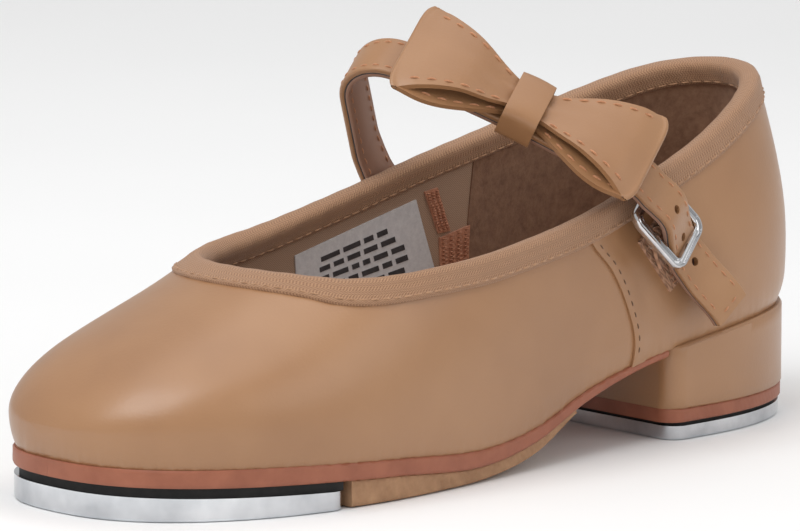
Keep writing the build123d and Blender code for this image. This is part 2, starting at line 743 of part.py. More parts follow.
outer_wing = 26.0                      # reach of the wings down the strap and up it
inner_wing = 25.7
with BuildPart() as bow_outline:
    with BuildSketch(bow_plane.offset(-2)):
        with BuildLine():
            Spline((-29, 12.6), (-19, 9.4), (-10, 6.0), (-4, 3.9), (0, 3.4), (4, 3.9), (10, 6.0),
                   (19, 9.4), (29, 12.6))
            Line((29, 12.6), (29, -12.6))
            Spline((29, -12.6), (19, -9.4), (10, -6.0), (4, -3.9), (0, -3.4), (-4, -3.9), (-10, -6.0),
                   (-19, -9.4), (-29, -12.6))
            Line((-29, -12.6), (-29, 12.6))
        make_face()
    extrude(amount=14)
with BuildPart() as bow_loop:
    with BuildSketch(bow_side):
        with BuildLine():
            Spline((-inner_wing, 3.4), (-21, 5.4), (-14, 6.2), (-6, 4.3), (0, 3.6), (6, 4.4), (14, 6.9),
                   (21, 7.2), (outer_wing, 5.8))
            ThreePointArc((outer_wing, 5.8), (outer_wing + 0.6, 5.0), (outer_wing, 4.3))
            Spline((outer_wing, 4.3), (21, 3.2), (14, 1.7), (6, 0.7), (0, 0.5), (-6, 0.6), (-14, 1.0),
                   (-21, 1.6), (-inner_wing, 2.0))
            ThreePointArc((-inner_wing, 2.0), (-inner_wing - 0.7, 2.7), (-inner_wing, 3.4))
        make_face()
        with BuildLine():
            Spline((24.2, 5.2), (20, 5.9), (14, 5.6), (8.5, 3.2), (7.8, 2.3), (9, 2.1), (14, 2.9),
                   (20, 4.1), periodic=True)
        make_face(mode=Mode.SUBTRACT)
        with BuildLine():
            Spline((-23.9, 2.9), (-20, 4.3), (-14, 5.0), (-8.5, 3.2), (-7.8, 2.2), (-9, 1.9),
                   (-14, 2.2), (-20, 2.75), periodic=True)
        make_face(mode=Mode.SUBTRACT)
    extrude(amount=20, both=True)
    add(bow_outline.part, mode=Mode.INTERSECT)
save(bow_loop.part, "bow_loop")

knot_half = 3.6                        # half the knot's length along the strap
knot_width = 12.8
with BuildPart() as bow_knot:
    with BuildSketch(bow_plane.offset(-strap_thick - 1.5)):
        Rectangle(2 * knot_half, knot_width)
    extrude(amount=8.8)
    fillet(bow_knot.edges().filter_by(Axis((0, 0, 0), bow_x)), 1.6)
    with BuildSketch(bow_plane.offset(-strap_thick - 0.4)):
        Rectangle(3 * knot_half, knot_width - 2.2)
    extrude(amount=6.6, mode=Mode.SUBTRACT)
    add(bow_loop.part, mode=Mode.SUBTRACT)
save(bow_knot.part, "bow_knot")
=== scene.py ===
import json
import math

import bmesh
import bpy
import numpy as np
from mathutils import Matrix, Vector


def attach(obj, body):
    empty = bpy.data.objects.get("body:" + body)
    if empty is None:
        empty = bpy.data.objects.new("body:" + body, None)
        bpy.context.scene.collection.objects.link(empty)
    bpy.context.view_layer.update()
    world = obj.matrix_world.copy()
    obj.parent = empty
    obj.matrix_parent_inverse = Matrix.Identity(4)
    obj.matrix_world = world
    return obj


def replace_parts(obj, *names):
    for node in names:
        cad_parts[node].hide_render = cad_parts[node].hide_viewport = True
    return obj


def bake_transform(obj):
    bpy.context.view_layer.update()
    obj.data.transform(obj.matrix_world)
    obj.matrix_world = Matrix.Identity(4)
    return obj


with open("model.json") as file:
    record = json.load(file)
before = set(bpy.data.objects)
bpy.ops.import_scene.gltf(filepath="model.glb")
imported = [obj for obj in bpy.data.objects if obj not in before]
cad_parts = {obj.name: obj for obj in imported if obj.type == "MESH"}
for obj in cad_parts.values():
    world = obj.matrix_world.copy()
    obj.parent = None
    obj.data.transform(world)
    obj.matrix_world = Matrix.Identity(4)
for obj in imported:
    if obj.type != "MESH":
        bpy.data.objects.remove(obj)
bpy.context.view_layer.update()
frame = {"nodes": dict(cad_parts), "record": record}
NODES = frame["nodes"]
SHIFT = np.array([-2.8, -1.0, 0.0])   # millimetres, from the foot form's own axes to the part's frame
rng = np.random.default_rng(7)


# ------------------------------------------------------------------ foot form, in millimetres
# Sides: 1 is the outer side of the foot, -1 the inner. Stations are (y, value) pairs.
BALL, HEEL = {1: 34.0, -1: 32.0}, {1: 26.0, -1: 24.5}
WAIST0, WAIST1 = {1: -38.0, -1: -48.0}, {1: 42.0, -1: 22.0}
SOLE_TOP = [(-91, 9.9), (-60, 9.3), (-35, 8.0), (-12, 6.4), (5, 8.3), (20, 13.1), (35, 16.7),
            (50, 19.4), (70, 21.8), (94, 23.0)]
SOLE_LOW = [(-91, 6.8), (-60, 6.0), (-35, 4.9), (-12, 3.3), (5, 5.6), (20, 11.1), (35, 15.3), (50, 18.3)]
PAD_LOW = [(-48, 0.3), (-24, 0.3), (-8, 0.8), (6, 3.4), (18, 9.2)]
TOP_OUT = [(-62, 42.2), (-50, 42.2), (-38, 41.2), (-20, 42.2), (0, 44.0), (24, 48.0), (50, 56.0),
           (72, 64.5), (90, 71.0)]
TOP_IN = [(-62, 42.2), (-50, 42.2), (-35, 42.8), (-20, 44.4), (0, 49.0), (20, 54.6), (40, 59.4),
          (62, 64.8), (78, 69.0), (90, 71.0)]
SEAM = [(2, 34.0), (22.0, 33.6), (30.0, 31.0), (37.0, 27.0), (43.0, 21.5), (52.0, 19.0), (70, 18.0)]


def line(stations, y):
    """Smooth curve through the stations, read at y."""
    s = np.array(stations, float)
    m = np.gradient(s[:, 1], s[:, 0])
    m[1:-1] = (s[2:, 1] - s[:-2, 1]) / (s[2:, 0] - s[:-2, 0])
    y = np.clip(np.asarray(y, float), s[0, 0], s[-1, 0])
    i = np.clip(np.searchsorted(s[:, 0], y, "right") - 1, 0, len(s) - 2)
    h = s[i + 1, 0] - s[i, 0]
    t = (y - s[i, 0]) / h
    return ((2 * t**3 - 3 * t**2 + 1) * s[i, 1] + (t**3 - 2 * t**2 + t) * h * m[i]
            + (3 * t**2 - 2 * t**3) * s[i + 1, 1] + (t**3 - t**2) * h * m[i + 1])


def ease(t):
    """Smooth step from 0 to 1."""
    t = np.clip(t, 0, 1)
    return 0.5 - 0.5 * np.cos(np.pi * t)


def ridge(y):
    """Height of the toe's top line."""
    d = np.maximum(y + 91.0, 0)
    t = np.clip(d / 34, 0, 1)
    return 15 + 14.5 * np.sqrt(1 - (1 - t) ** 2) + 0.24 * d + 0.006 * np.maximum(y + 72, 0) ** 2


RIDGE_Y = np.linspace(-91, 40, 6000)
RIDGE_Z = ridge(RIDGE_Y)


def toe_end(z):
    return np.where(z <= 15, -91.0, np.interp(z, RIDGE_Z, RIDGE_Y))


def heel_end(z):
    return 92.8 - 1.8 * (np.maximum(40 - z, 0) / 20) ** 2 - 7.0 * (np.maximum(z - 40, 0) / 31) ** 1.7


def half_width(y, side, z, back):
    """Distance from the middle line to one side, narrowing to the toe, the heel and upward."""
    w = np.where(side > 0,
                 BALL[1] + (HEEL[1] - BALL[1]) * ease((y - WAIST0[1]) / (WAIST1[1] - WAIST0[1])),
                 BALL[-1] + (HEEL[-1] - BALL[-1]) * ease((y - WAIST0[-1]) / (WAIST1[-1] - WAIST0[-1]))
                 - 1.6 * np.exp(-((y - 25) / 18) ** 2))
    toe = np.clip((-38 - y) / 53, 0, 1)
    heel = np.clip((y - 54) / (back - 54), 0, 1)
    w = w * (1 - 0.26 * ease((z - 30) / 48) * ease((y - 5) / 60))
    return w * (1 - toe**2.5) ** 0.4 * (1 - heel**2.2) ** 0.4545


def middle_x(y):
    return -5.0 * np.clip((-35 - y) / 56, 0, 1) ** 1.5


def skin(t, z):
    """Point of the form: t goes round the plan from the toe (0) by the outer side to the heel (pi)."""
    side = np.where(np.sin(t) >= 0, 1, -1)
    front, back = toe_end(z), heel_end(np.maximum(z, 22))
    y = (front + back) / 2 - (back - front) / 2 * np.cos(t)
    widest = line(SOLE_TOP, y) + 6.5
    q = np.clip((z - widest) / np.maximum(ridge(y) - widest, 1), 0, 1)
    x = middle_x(y) + side * half_width(y, side, z, back) * (1 - q**2.2) ** 0.4545
    return x, y


def topline(x, y):
    f = np.clip((x + 21) / 42, 0, 1)
    return line(TOP_OUT, y) * f + line(TOP_IN, y) * (1 - f)


def wall(t, v, drop=0.0):
    """Points of the upper: v goes from the feather edge (0) to the opening's edge (1), less
    drop millimetres. Returns points and outward normals."""
    t, v = np.broadcast_arrays(np.asarray(t, float), np.asarray(v, float))
    z = np.full(t.shape, 30.0)
    for _ in range(40):
        x, y = skin(t, z)
        low = line(SOLE_TOP, y)
        z = 0.5 * z + 0.5 * (low + v * (topline(x, y) - low) - drop)
    x, y = skin(t, z)
    widest = line(SOLE_TOP, y) + 6.5
    p = np.stack([x, y, z], -1)
    n = normals(t, z)
    tuck = 1.3 * np.clip((widest - z) / 6.5, 0, 1) ** 2
    flat = n * np.array([1, 1, 0])
    return p - flat * tuck[..., None], n


def normals(t, z):
    e = 0.004
    x0, y0 = skin(t - e, z)
    x1, y1 = skin(t + e, z)
    xa, ya = skin(t, z - 0.15)
    xb, yb = skin(t, z + 0.15)
    a = np.stack([x1 - x0, y1 - y0, np.zeros_like(z)], -1)
    b = np.stack([xb - xa, yb - ya, np.full_like(z, 0.3)], -1)
    n = np.cross(a, b)
    n /= np.linalg.norm(n, axis=-1, keepdims=True) + 1e-12
    out = np.stack([np.sin(t) * 60, -np.cos(t) * 90, np.zeros_like(t)], -1)
    return n * np.sign((n * out).sum(-1, keepdims=True) + 1e-9)


# ------------------------------------------------------------------ mesh helpers
def make(name, verts, faces, mat, body, uv=None, angle=40, clean=True):
    """Object from points in millimetres; clean merges doubles and turns the faces outward."""
    mesh = bpy.data.meshes.new(name)
    co = (np.asarray(verts, float).reshape(-1, 3) + SHIFT) / 1000
    mesh.from_pydata(co.tolist(), [], [list(map(int, f)) for f in faces])
    if uv is not None:
        layer = mesh.uv_layers.new(name="UVMap")
        idx = np.zeros(len(mesh.loops), int)
        mesh.loops.foreach_get("vertex_index", idx)
        layer.data.foreach_set("uv", np.asarray(uv, float).reshape(-1, 2)[idx].ravel())
    mesh.validate()
    mesh.polygons.foreach_set("use_smooth", [True] * len(mesh.polygons))
    mesh.set_sharp_from_angle(angle=math.radians(angle))
    mesh.materials.append(mat)
    obj = bpy.data.objects.new(name, mesh)
    bpy.context.scene.collection.objects.link(obj)
    if clean:
        bm = bmesh.new()
        bm.from_mesh(mesh)
        bmesh.ops.remove_doubles(bm, verts=bm.verts, dist=1e-7)
        bmesh.ops.recalc_face_normals(bm, faces=bm.faces)
        bm.to_mesh(mesh)
        bm.free()
        mesh.set_sharp_from_angle(angle=math.radians(angle))
    if body:
        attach(obj, body)
    return obj


def quads(n, m, wrap_n=False, wrap_m=False, start=0, flip=False):
    """Faces of an n by m grid of points."""
    i = np.arange(n if wrap_n else n - 1)
    j = np.arange(m if wrap_m else m - 1)
    I, J = np.meshgrid(i, j, indexing="ij")
    a = I * m + J
    b = ((I + 1) % n) * m + J
    c = ((I + 1) % n) * m + (J + 1) % m
    d = I * m + (J + 1) % m
    f = np.stack([a, b, c, d], -1).reshape(-1, 4) + start
    return f[:, ::-1] if flip else f


def shell(name, p, n, outer, inner, mat, body, uv=None, wrap=False, angle=40):
    """Closed thick skin over a grid of points p with normals n, between two heights."""
    rows, cols = p.shape[:2]
    outer = np.broadcast_to(outer, p.shape[:2])[..., None]
    inner = np.broadcast_to(inner, p.shape[:2])[..., None]
    top, low = p + n * outer, p + n * inner
    k = rows * cols
    faces = [quads(rows, cols, wrap), quads(rows, cols, wrap, start=k, flip=True)]
    idx = np.arange(k).reshape(rows, cols)
    edges = [(idx[:, 0], wrap), (idx[::-1, -1], wrap)]
    if not wrap:
        edges += [(idx[0, ::-1], False), (idx[-1, :], False)]
    for e, closed in edges:
        a, b = e, np.roll(e, -1)
        if not closed:
            a, b = a[:-1], b[:-1]
        faces.append(np.stack([a, a + k, b + k, b], -1))
    if uv is not None:
        uv = np.concatenate([uv.reshape(-1, 2), uv.reshape(-1, 2)])
    return make(name, np.concatenate([top.reshape(-1, 3), low.reshape(-1, 3)]),
                np.concatenate(faces), mat, body, uv, angle)


def tube(path, frame_a, frame_b, section, closed=False):
    """Section points (k,2) carried along a path: returns verts and faces, with end caps."""
    path = np.asarray(path, float)
    section = np.asarray(section, float)
    if section.ndim == 2:
        section = np.broadcast_to(section, (len(path),) + section.shape)
    v = path[:, None] + section[..., :1] * frame_a[:, None] + section[..., 1:] * frame_b[:, None]
    n, m = v.shape[:2]
    faces = quads(n, m, closed, True).tolist()
    if not closed:
        faces.append(list(range(m))[::-1])
        faces.append([(n - 1) * m + j for j in range(m)])
    return v.reshape(-1, 3), faces


def arc_length(p):
    return np.concatenate([[0], np.cumsum(np.linalg.norm(np.diff(p, axis=0), axis=1))])


def resample(p, step, *others):
    """Points p, and other values along them, at an even step."""
    s = arc_length(p)
    count = max(2, int(round(s[-1] / step)) + 1)
    q = np.linspace(0, s[-1], count)
    out = [np.stack([np.interp(q, s, a[:, i]) for i in range(a.shape[1])], -1) for a in (p,) + others]
    return out if others else out[0]


def stitches(name, rows, mat, body, length=1.9, gap=0.8, radius=0.24, sink=0.35):
    """Thread along each row (points, normals), one short arched bead a stitch."""
    verts, faces = [], []
    ring = np.linspace(0, 2 * np.pi, 7)[:-1]
    for p, n in rows:
        s = arc_length(p)
        starts = np.arange(gap, s[-1] - length, length + gap)
        for s0 in starts:
            u = np.linspace(0, 1, 6)
            c = np.stack([np.interp(s0 + u * length, s, p[:, i]) for i in range(3)], -1)
            m = np.stack([np.interp(s0 + u * length, s, n[:, i]) for i in range(3)], -1)
            m /= np.linalg.norm(m, axis=1, keepdims=True)
            d = c[-1] - c[0]
            d /= np.linalg.norm(d) + 1e-9
            b = np.cross(m, d)
            lift = radius * (np.sin(np.pi * np.clip(u, 0.06, 0.94)) ** 0.5) * 1.5 - sink
            r = radius * np.array([0.45, 0.9, 1, 1, 0.9, 0.45])
            start = len(verts)
            for i in range(6):
                centre = c[i] + m[i] * lift[i]
                for a in ring:
                    verts.append(centre + r[i] * (np.cos(a) * b[i] + np.sin(a) * m[i] * 0.8))
            faces += quads(6, 6, False, True, start).tolist()
            faces.append([start + j for j in range(6)])
            faces.append([start + 30 + j for j in range(6)][::-1])
    return make(name, verts, faces, mat, body, angle=60, clean=False)


# ------------------------------------------------------------------ materials
def srgb(r, g, b):
    """Linear colour from screen values of 0 to 255."""
    return tuple((c / 255 / 12.92) if c <= 10 else ((c / 255 + 0.055) / 1.055) ** 2.4
                 for c in (r, g, b)) + (1,)


def material(name, build):
    mat = bpy.data.materials.new(name)
    mat.use_nodes = True
    nt = mat.node_tree
    bsdf = nt.nodes["Principled BSDF"]
    build(nt, bsdf)
    return mat


def node(nt, kind, **values):
    n = nt.nodes.new(kind)
    for key, value in values.items():
        if hasattr(n, key) and key not in n.inputs:
            setattr(n, key, value)
        else:
            n.inputs[key].default_value = value
    return n


def ramp(nt, fac, stops):
    n = nt.nodes.new("ShaderNodeValToRGB")
    n.color_ramp.elements[0].position, n.color_ramp.elements[0].color = stops[0]
    n.color_ramp.elements[1].position, n.color_ramp.elements[1].color = stops[-1]
    for pos, col in stops[1:-1]:
        n.color_ramp.elements.new(pos).color = col
    nt.links.new(fac, n.inputs["Fac"])
    return n.outputs["Color"]


def noise(nt, coord, scale, detail=4.0, rough=0.55):
    n = node(nt, "ShaderNodeTexNoise", Scale=scale, Detail=detail, Roughness=rough)
    nt.links.new(coord, n.inputs["Vector"])
    return n.outputs["Fac"]


def coords(nt, kind="Object"):
    return nt.nodes.new("ShaderNodeTexCoord").outputs[kind]


def bump(nt, bsdf, heights):
    """Stack of bumps: (height socket, strength, distance in metres)."""
    last = None
    for height, strength, distance in heights:
        b = node(nt, "ShaderNodeBump", Strength=strength, Distance=distance)
        nt.links.new(height, b.inputs["Height"])
        if last is not None:
            nt.links.new(last, b.inputs["Normal"])
        last = b.outputs["Normal"]
    nt.links.new(last, bsdf.inputs["Normal"])


def leather(name, dark, mid, light, rough=0.36, coat=0.25, grain=0.25):
    def build(nt, bsdf):
        c = coords(nt)
        big = noise(nt, c, 26, 3)
        col = ramp(nt, big, [(0.3, dark), (0.5, mid), (0.72, light)])
        nt.links.new(col, bsdf.inputs["Base Color"])
        r = node(nt, "ShaderNodeMapRange")
        r.inputs["To Min"].default_value = rough - 0.05
        r.inputs["To Max"].default_value = rough + 0.07
        nt.links.new(noise(nt, c, 180, 5), r.inputs["Value"])
        nt.links.new(r.outputs["Result"], bsdf.inputs["Roughness"])
        bsdf.inputs["Coat Weight"].default_value = coat
        bsdf.inputs["Coat Roughness"].default_value = 0.3
        v = node(nt, "ShaderNodeTexVoronoi", Scale=1500.0)
        nt.links.new(c, v.inputs["Vector"])
        bump(nt, bsdf, [(v.outputs["Distance"], grain, 0.00006), (noise(nt, c, 900, 4), 0.12, 0.00008),
                        (noise(nt, c, 60, 2), 0.1, 0.0004)])
    return material(name, build)


def weave(name, dark, light, across, along, rough=0.9, strength=0.7, herring=0.0, depth=0.0002):
    """Woven cloth on UV coordinates in millimetres: diagonal threads whose lean turns over
    each herring millimetres, or a plain twill."""
    def build(nt, bsdf):
        uv = node(nt, "ShaderNodeSeparateXYZ")
        nt.links.new(coords(nt, "UV"), uv.inputs[0])

        def math_node(op, a, b=None):
            m = nt.nodes.new("ShaderNodeMath")
            m.operation = op
            for i, value in enumerate((a, b)):
                if value is None:
                    continue
                if isinstance(value, (int, float)):
                    m.inputs[i].default_value = value
                else:
                    nt.links.new(value, m.inputs[i])
            return m.outputs[0]
        u, v = uv.outputs[0], uv.outputs[1]
        lean = math_node("PINGPONG", v, herring) if herring else v
        phase = math_node("ADD", math_node("MULTIPLY", u, along), math_node("MULTIPLY", lean, across))
        a = math_node("SINE", math_node("MULTIPLY", phase, 6.2832))
        b = math_node("SINE", math_node("MULTIPLY", v, 6.2832 * 2.3))
        h = math_node("ADD", math_node("MULTIPLY", a, 0.4), math_node("MULTIPLY", b, 0.15))
        h = math_node("ADD", h, 0.5)
        fuzz = noise(nt, coords(nt), 1400, 3)
        h = math_node("ADD", math_node("MULTIPLY", h, 0.8), math_node("MULTIPLY", fuzz, 0.25))
        nt.links.new(ramp(nt, h, [(0.15, dark), (0.75, light)]), bsdf.inputs["Base Color"])
        bsdf.inputs["Roughness"].default_value = rough
        bsdf.inputs["Sheen Weight"].default_value = 0.15
        bump(nt, bsdf, [(h, strength, depth)])
    return material(name, build)


def cloth(name, dark, light, scale=700, rough=0.95, strength=0.6, distance=0.0003):
    def build(nt, bsdf):
        c = coords(nt)
        f = noise(nt, c, scale, 6, 0.7)
        nt.links.new(ramp(nt, f, [(0.3, dark), (0.7, light)]), bsdf.inputs["Base Color"])
        bsdf.inputs["Roughness"].default_value = rough
        bsdf.inputs["Sheen Weight"].default_value = 0.25
        bump(nt, bsdf, [(f, strength, distance), (noise(nt, c, 90, 3), 0.2, 0.0006)])
    return material(name, build)


def metal(name, dark, light, rough, scale=300, strength=0.15, distance=0.0001):
    def build(nt, bsdf):
        f = noise(nt, coords(nt), scale, 5, 0.6)
        nt.links.new(ramp(nt, f, [(0.3, dark), (0.7, light)]), bsdf.inputs["Base Color"])
        bsdf.inputs["Metallic"].default_value = 1.0
        r = node(nt, "ShaderNodeMapRange")
        r.inputs["To Min"].default_value = max(rough - 0.05, 0.02)
        r.inputs["To Max"].default_value = rough + 0.08
        nt.links.new(f, r.inputs["Value"])
        nt.links.new(r.outputs["Result"], bsdf.inputs["Roughness"])
        bump(nt, bsdf, [(f, strength, distance)])
    return material(name, build)


def solid(name, dark, light, rough, scale=200, strength=0.3, distance=0.0002):
    def build(nt, bsdf):
        c = coords(nt)
        f = noise(nt, c, scale, 6, 0.6)
        nt.links.new(ramp(nt, f, [(0.3, dark), (0.7, light)]), bsdf.inputs["Base Color"])
        bsdf.inputs["Roughness"].default_value = rough
        fine = noise(nt, c, scale * 6, 3)
        bump(nt, bsdf, [(f, strength, distance), (fine, strength * 0.5, distance / 3)])
    return material(name, build)


TAN = leather("tan_leather", srgb(153, 111, 77), srgb(161, 118, 82), srgb(168, 125, 88))
TAN_STRAP = leather("strap_leather", srgb(150, 107, 71), srgb(160, 116, 79), srgb(168, 125, 87),
                    rough=0.42, coat=0.15, grain=0.35)
PINK_LINING = leather("strap_back", srgb(140, 103, 83), srgb(150, 112, 92), srgb(158, 120, 98),
                      rough=0.6, coat=0.0, grain=0.2)
CUT_EDGE = solid("cut_edge", srgb(58, 56, 58), srgb(84, 78, 76), 0.8, 900)
BINDING = weave("binding_tape", srgb(138, 102, 76), srgb(172, 132, 101), 1.1, 1.5, herring=0.8, strength=0.6)
ELASTIC = weave("elastic_tape", srgb(146, 106, 80), srgb(194, 150, 120), 1.4, 0.35, herring=0.6, strength=0.7)
TWILL = weave("twill_lining", srgb(158, 128, 106), srgb(184, 154, 130), 1.9, 1.9, strength=0.25, depth=0.0001)
SUEDE = cloth("suede_lining", srgb(118, 84, 62), srgb(156, 118, 92), 420)
SOCK = cloth("sock_cloth", srgb(120, 88, 66), srgb(150, 114, 88), 500)
LABEL = cloth("label_tape", srgb(205, 204, 206), srgb(228, 227, 228), 900, 0.7, 0.2, 0.0001)
PRINT = solid("label_print", srgb(52, 50, 52), srgb(74, 70, 72), 0.8, 800)
ORANGE = cloth("orange_textile", srgb(172, 108, 78), srgb(214, 152, 118), 900, 0.9, 0.8)
THREAD = cloth("thread", srgb(160, 104, 70), srgb(204, 146, 106), 1600)
THREAD_TAN = cloth("thread_tan", srgb(150, 110, 80), srgb(188, 146, 112), 1600)
THREAD_DARK = cloth("thread_dark", srgb(86, 60, 40), srgb(118, 86, 60), 1200)
SOLE = solid("brown_sole", srgb(142, 82, 58), srgb(160, 96, 70), 0.5, 160, 0.25)
BOARD = solid("black_board", srgb(12, 12, 12), srgb(30, 29, 28), 0.75, 400)
RUBBER = solid("tan_rubber", srgb(150, 112, 82), srgb(178, 138, 104), 0.8, 260, 0.6, 0.0004)
TAP = metal("tap_metal", (0.34, 0.36, 0.39, 1), (0.86, 0.88, 0.90, 1), 0.14, 34, 0.25, 0.0003)
STEEL = metal("steel", (0.42, 0.42, 0.43, 1), (0.62, 0.62, 0.62, 1), 0.3)
CHROME = metal("chrome", (0.58, 0.58, 0.59, 1), (0.78, 0.78, 0.79, 1), 0.06, 300, 0.04, 0.00003)
FIBRE = solid("fibre_board", srgb(150, 128, 100), srgb(176, 154, 124), 0.9, 500)
FOAM = solid("foam", srgb(168, 140, 112), srgb(190, 162, 134), 0.95, 900, 0.8)
STIFF = solid("stiffener", srgb(186, 172, 150), srgb(206, 192, 170), 0.9, 700)


# ------------------------------------------------------------------ upper
def cross_t(v, side, at_y):
    """t at which the wall reaches y = at_y(z), for each v."""
    lo, hi = np.full(v.shape, 0.05), np.full(v.shape, 3.0)
    for _ in range(26):
        mid = (lo + hi) / 2
        p, _n = wall(side * mid, v)
        before = p[..., 1] < at_y(p[..., 2])
        lo, hi = np.where(before, mid, lo), np.where(before, hi, mid)
    return (lo + hi) / 2


def seam_y(z):
    return line(SEAM, z)


V = np.linspace(0, 1, 90) ** 0.9
SEAM_T = {side: cross_t(V, side, seam_y) for side in (1, -1)}


def between(t_from, t_to, count):
    """Grid of t from one edge to the other, a row for each step and a column for each V."""
    return t_from[None] + (t_to - t_from)[None] * np.linspace(0, 1, count)[:, None]


def pleats(p, height):
    """Fine lasting folds that fade out above the sole."""
    above = p[..., 2] - line(SOLE_TOP, p[..., 1])
    s = p[..., 1] * 0.9 + p[..., 0] * 0.7
    folds = np.sin(s * 1.9) * np.sin(s * 0.63 + 1) + 0.5 * np.sin(s * 4.1 + 2)
    return height * folds * np.exp(-np.maximum(above, 0) / 2.2)


T = between(-SEAM_T[-1] - 0.02, SEAM_T[1] + 0.02, 460)
p, n = wall(T, np.broadcast_to(V, T.shape))
soft = 0.10 * np.sin(p[..., 1] * 0.11 + 1) * np.sin(p[..., 2] * 0.17) + pleats(p, 0.10)
vamp = shell("vamp_skin", p, n, soft, -1.2, TAN, "shoe")
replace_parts(vamp, "vamp")

for side, name in ((1, "outer"), (-1, "inner")):
    T = between(SEAM_T[side] - 0.004, np.full(V.shape, math.pi), 200) * side
    p, n = wall(T, np.broadcast_to(V, T.shape))
    d = np.linalg.norm(p - p[:1], axis=-1)
    lift = 0.30 + 0.35 * (1 - ease((d - 0.8) / 5.0)) - 0.12 * (1 - ease(d / 0.5)) + pleats(p, 0.08)
    quarter = shell(f"quarter_{name}_skin", p, n, lift, -1.0, TAN, "shoe")
    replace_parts(quarter, f"quarter_{name}")
    k = np.argmax(d[:, 45] > 1.3)
    row = p[k] + n[k] * 0.64
    stitches(f"quarter_{name}_stitch", [(row[3:-10], n[k, 3:-10])], THREAD_DARK, "shoe", 1.5, 1.0, 0.17, 0.22)

# ------------------------------------------------------------------ lining, label, tapes
LINING_SEAM_Y = 33.0
LINING_T = {side: cross_t(V, side, lambda z: LINING_SEAM_Y) for side in (1, -1)}
T = between(-LINING_T[-1] - 0.01, LINING_T[1] + 0.01, 300)
p, n = wall(T, np.broadcast_to(V, T.shape))
uv = np.stack([p[..., 1] + p[..., 0], p[..., 2]], -1)
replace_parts(shell("vamp_lining_skin", p, n, -1.9, -2.7, TWILL, "shoe", uv), "vamp_lining")
T = between(LINING_T[1] - 0.02, 2 * math.pi - LINING_T[-1] + 0.02, 260)
p, n = wall(T, np.broadcast_to(V, T.shape))
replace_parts(shell("quarter_lining_skin", p, n, -2.1, -2.95, SUEDE, "shoe"), "quarter_lining")


def on_wall(y, z, side, height):
    """Point of the wall at given y and z, raised by height, and its normal."""
    y, z = np.broadcast_arrays(np.asarray(y, float), np.asarray(z, float))
    back = heel_end(np.maximum(z, 22))
    front = toe_end(z)
    t = side * np.arccos(np.clip(1 - 2 * (y - front) / (back - front), -1, 1))
    x, _y = skin(t, z)
    m = normals(t, z)
    return np.stack([x, y, z], -1) + m * height, m


def inner_patch(name, mat, corners, inside, thick, count=(40, 30)):
    """Four-cornered patch on the inner side's lining: corners are (y, z)."""
    a, b = np.meshgrid(np.linspace(0, 1, count[0]), np.linspace(0, 1, count[1]), indexing="ij")
    c = np.array(corners, float)
    yz = ((1 - a) * (1 - b))[..., None] * c[0] + (a * (1 - b))[..., None] * c[1] \
        + (a * b)[..., None] * c[2] + ((1 - a) * b)[..., None] * c[3]
    p, m = on_wall(yz[..., 0], yz[..., 1], -1, inside)
    return shell(name, p, m, 0.0, -thick, mat, "shoe", np.stack([a * 24, b * 16], -1))


def blend_corners(corners, a, b):
    """Point of a four-cornered outline: a along its top edge, b down."""
    c = np.array(corners, float)
    return (1 - a) * (1 - b) * c[0] + a * (1 - b) * c[1] + a * b * c[2] + (1 - a) * b * c[3]


LABEL_AT = ((-12, 38.5), (17, 46.8), (22.6, 31.5), (-9, 25.5))
TAPE_AT = ((19, 48.2), (22.2, 48.8), (26.3, 39.4), (23.1, 39.2))
PATCH_AT = ((23.5, 38.2), (31.7, 40), (31.7, 30.5), (24.3, 29.5))
TRIM_INSIDE = -2.6                     # outer face of the trims, from the upper's surface
BAR_HIGH, BAR_GAP, BAR_END = 0.075, 0.03, 0.88
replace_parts(inner_patch("care_label_skin", LABEL, LABEL_AT, TRIM_INSIDE, 0.45), "care_label")
# plain bars of random lengths stand where a care label carries its text
for row in range(5):
    b = 0.2 + row * 0.15
    a = 0.16 + 0.06 * rng.uniform(0, 1)
    for k, w in enumerate(rng.uniform(0.05, 0.16, 9)):
        if a + w > BAR_END:
            break
        outline = ((a, b), (a + w, b), (a + w, b + BAR_HIGH), (a, b + BAR_HIGH))
        bar = [blend_corners(LABEL_AT, *ab) for ab in outline]
        inner_patch(f"label_bar_{row}_{k}", PRINT, bar, -3.0, 0.12, count=(8, 3))
        a += w + BAR_GAP
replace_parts(inner_patch("lining_tape_skin", ORANGE, TAPE_AT, TRIM_INSIDE, 0.5), "lining_tape")
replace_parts(inner_patch("strap_patch_skin", ORANGE, PATCH_AT, TRIM_INSIDE, 0.5), "strap_patch")
rows = []
for corners, lines, waves in ((TAPE_AT, 3, 7), (PATCH_AT, 4, 5)):
    for k in range(lines):
        b = np.linspace(0.03, 0.97, waves * 4 + 1)
        a = (k + 0.5) / lines + 0.32 / lines * np.where(np.arange(len(b)) % 2, 1, -1)
        yz = np.array([blend_corners(corners, *ab) for ab in zip(a, b)])
        q, m = on_wall(yz[:, 0], yz[:, 1], -1, -3.12)
        rows.append((q, -m))
stitches("patch_stitch", rows, ORANGE, "shoe", 1.1, 0.25, 0.2, 0.1)

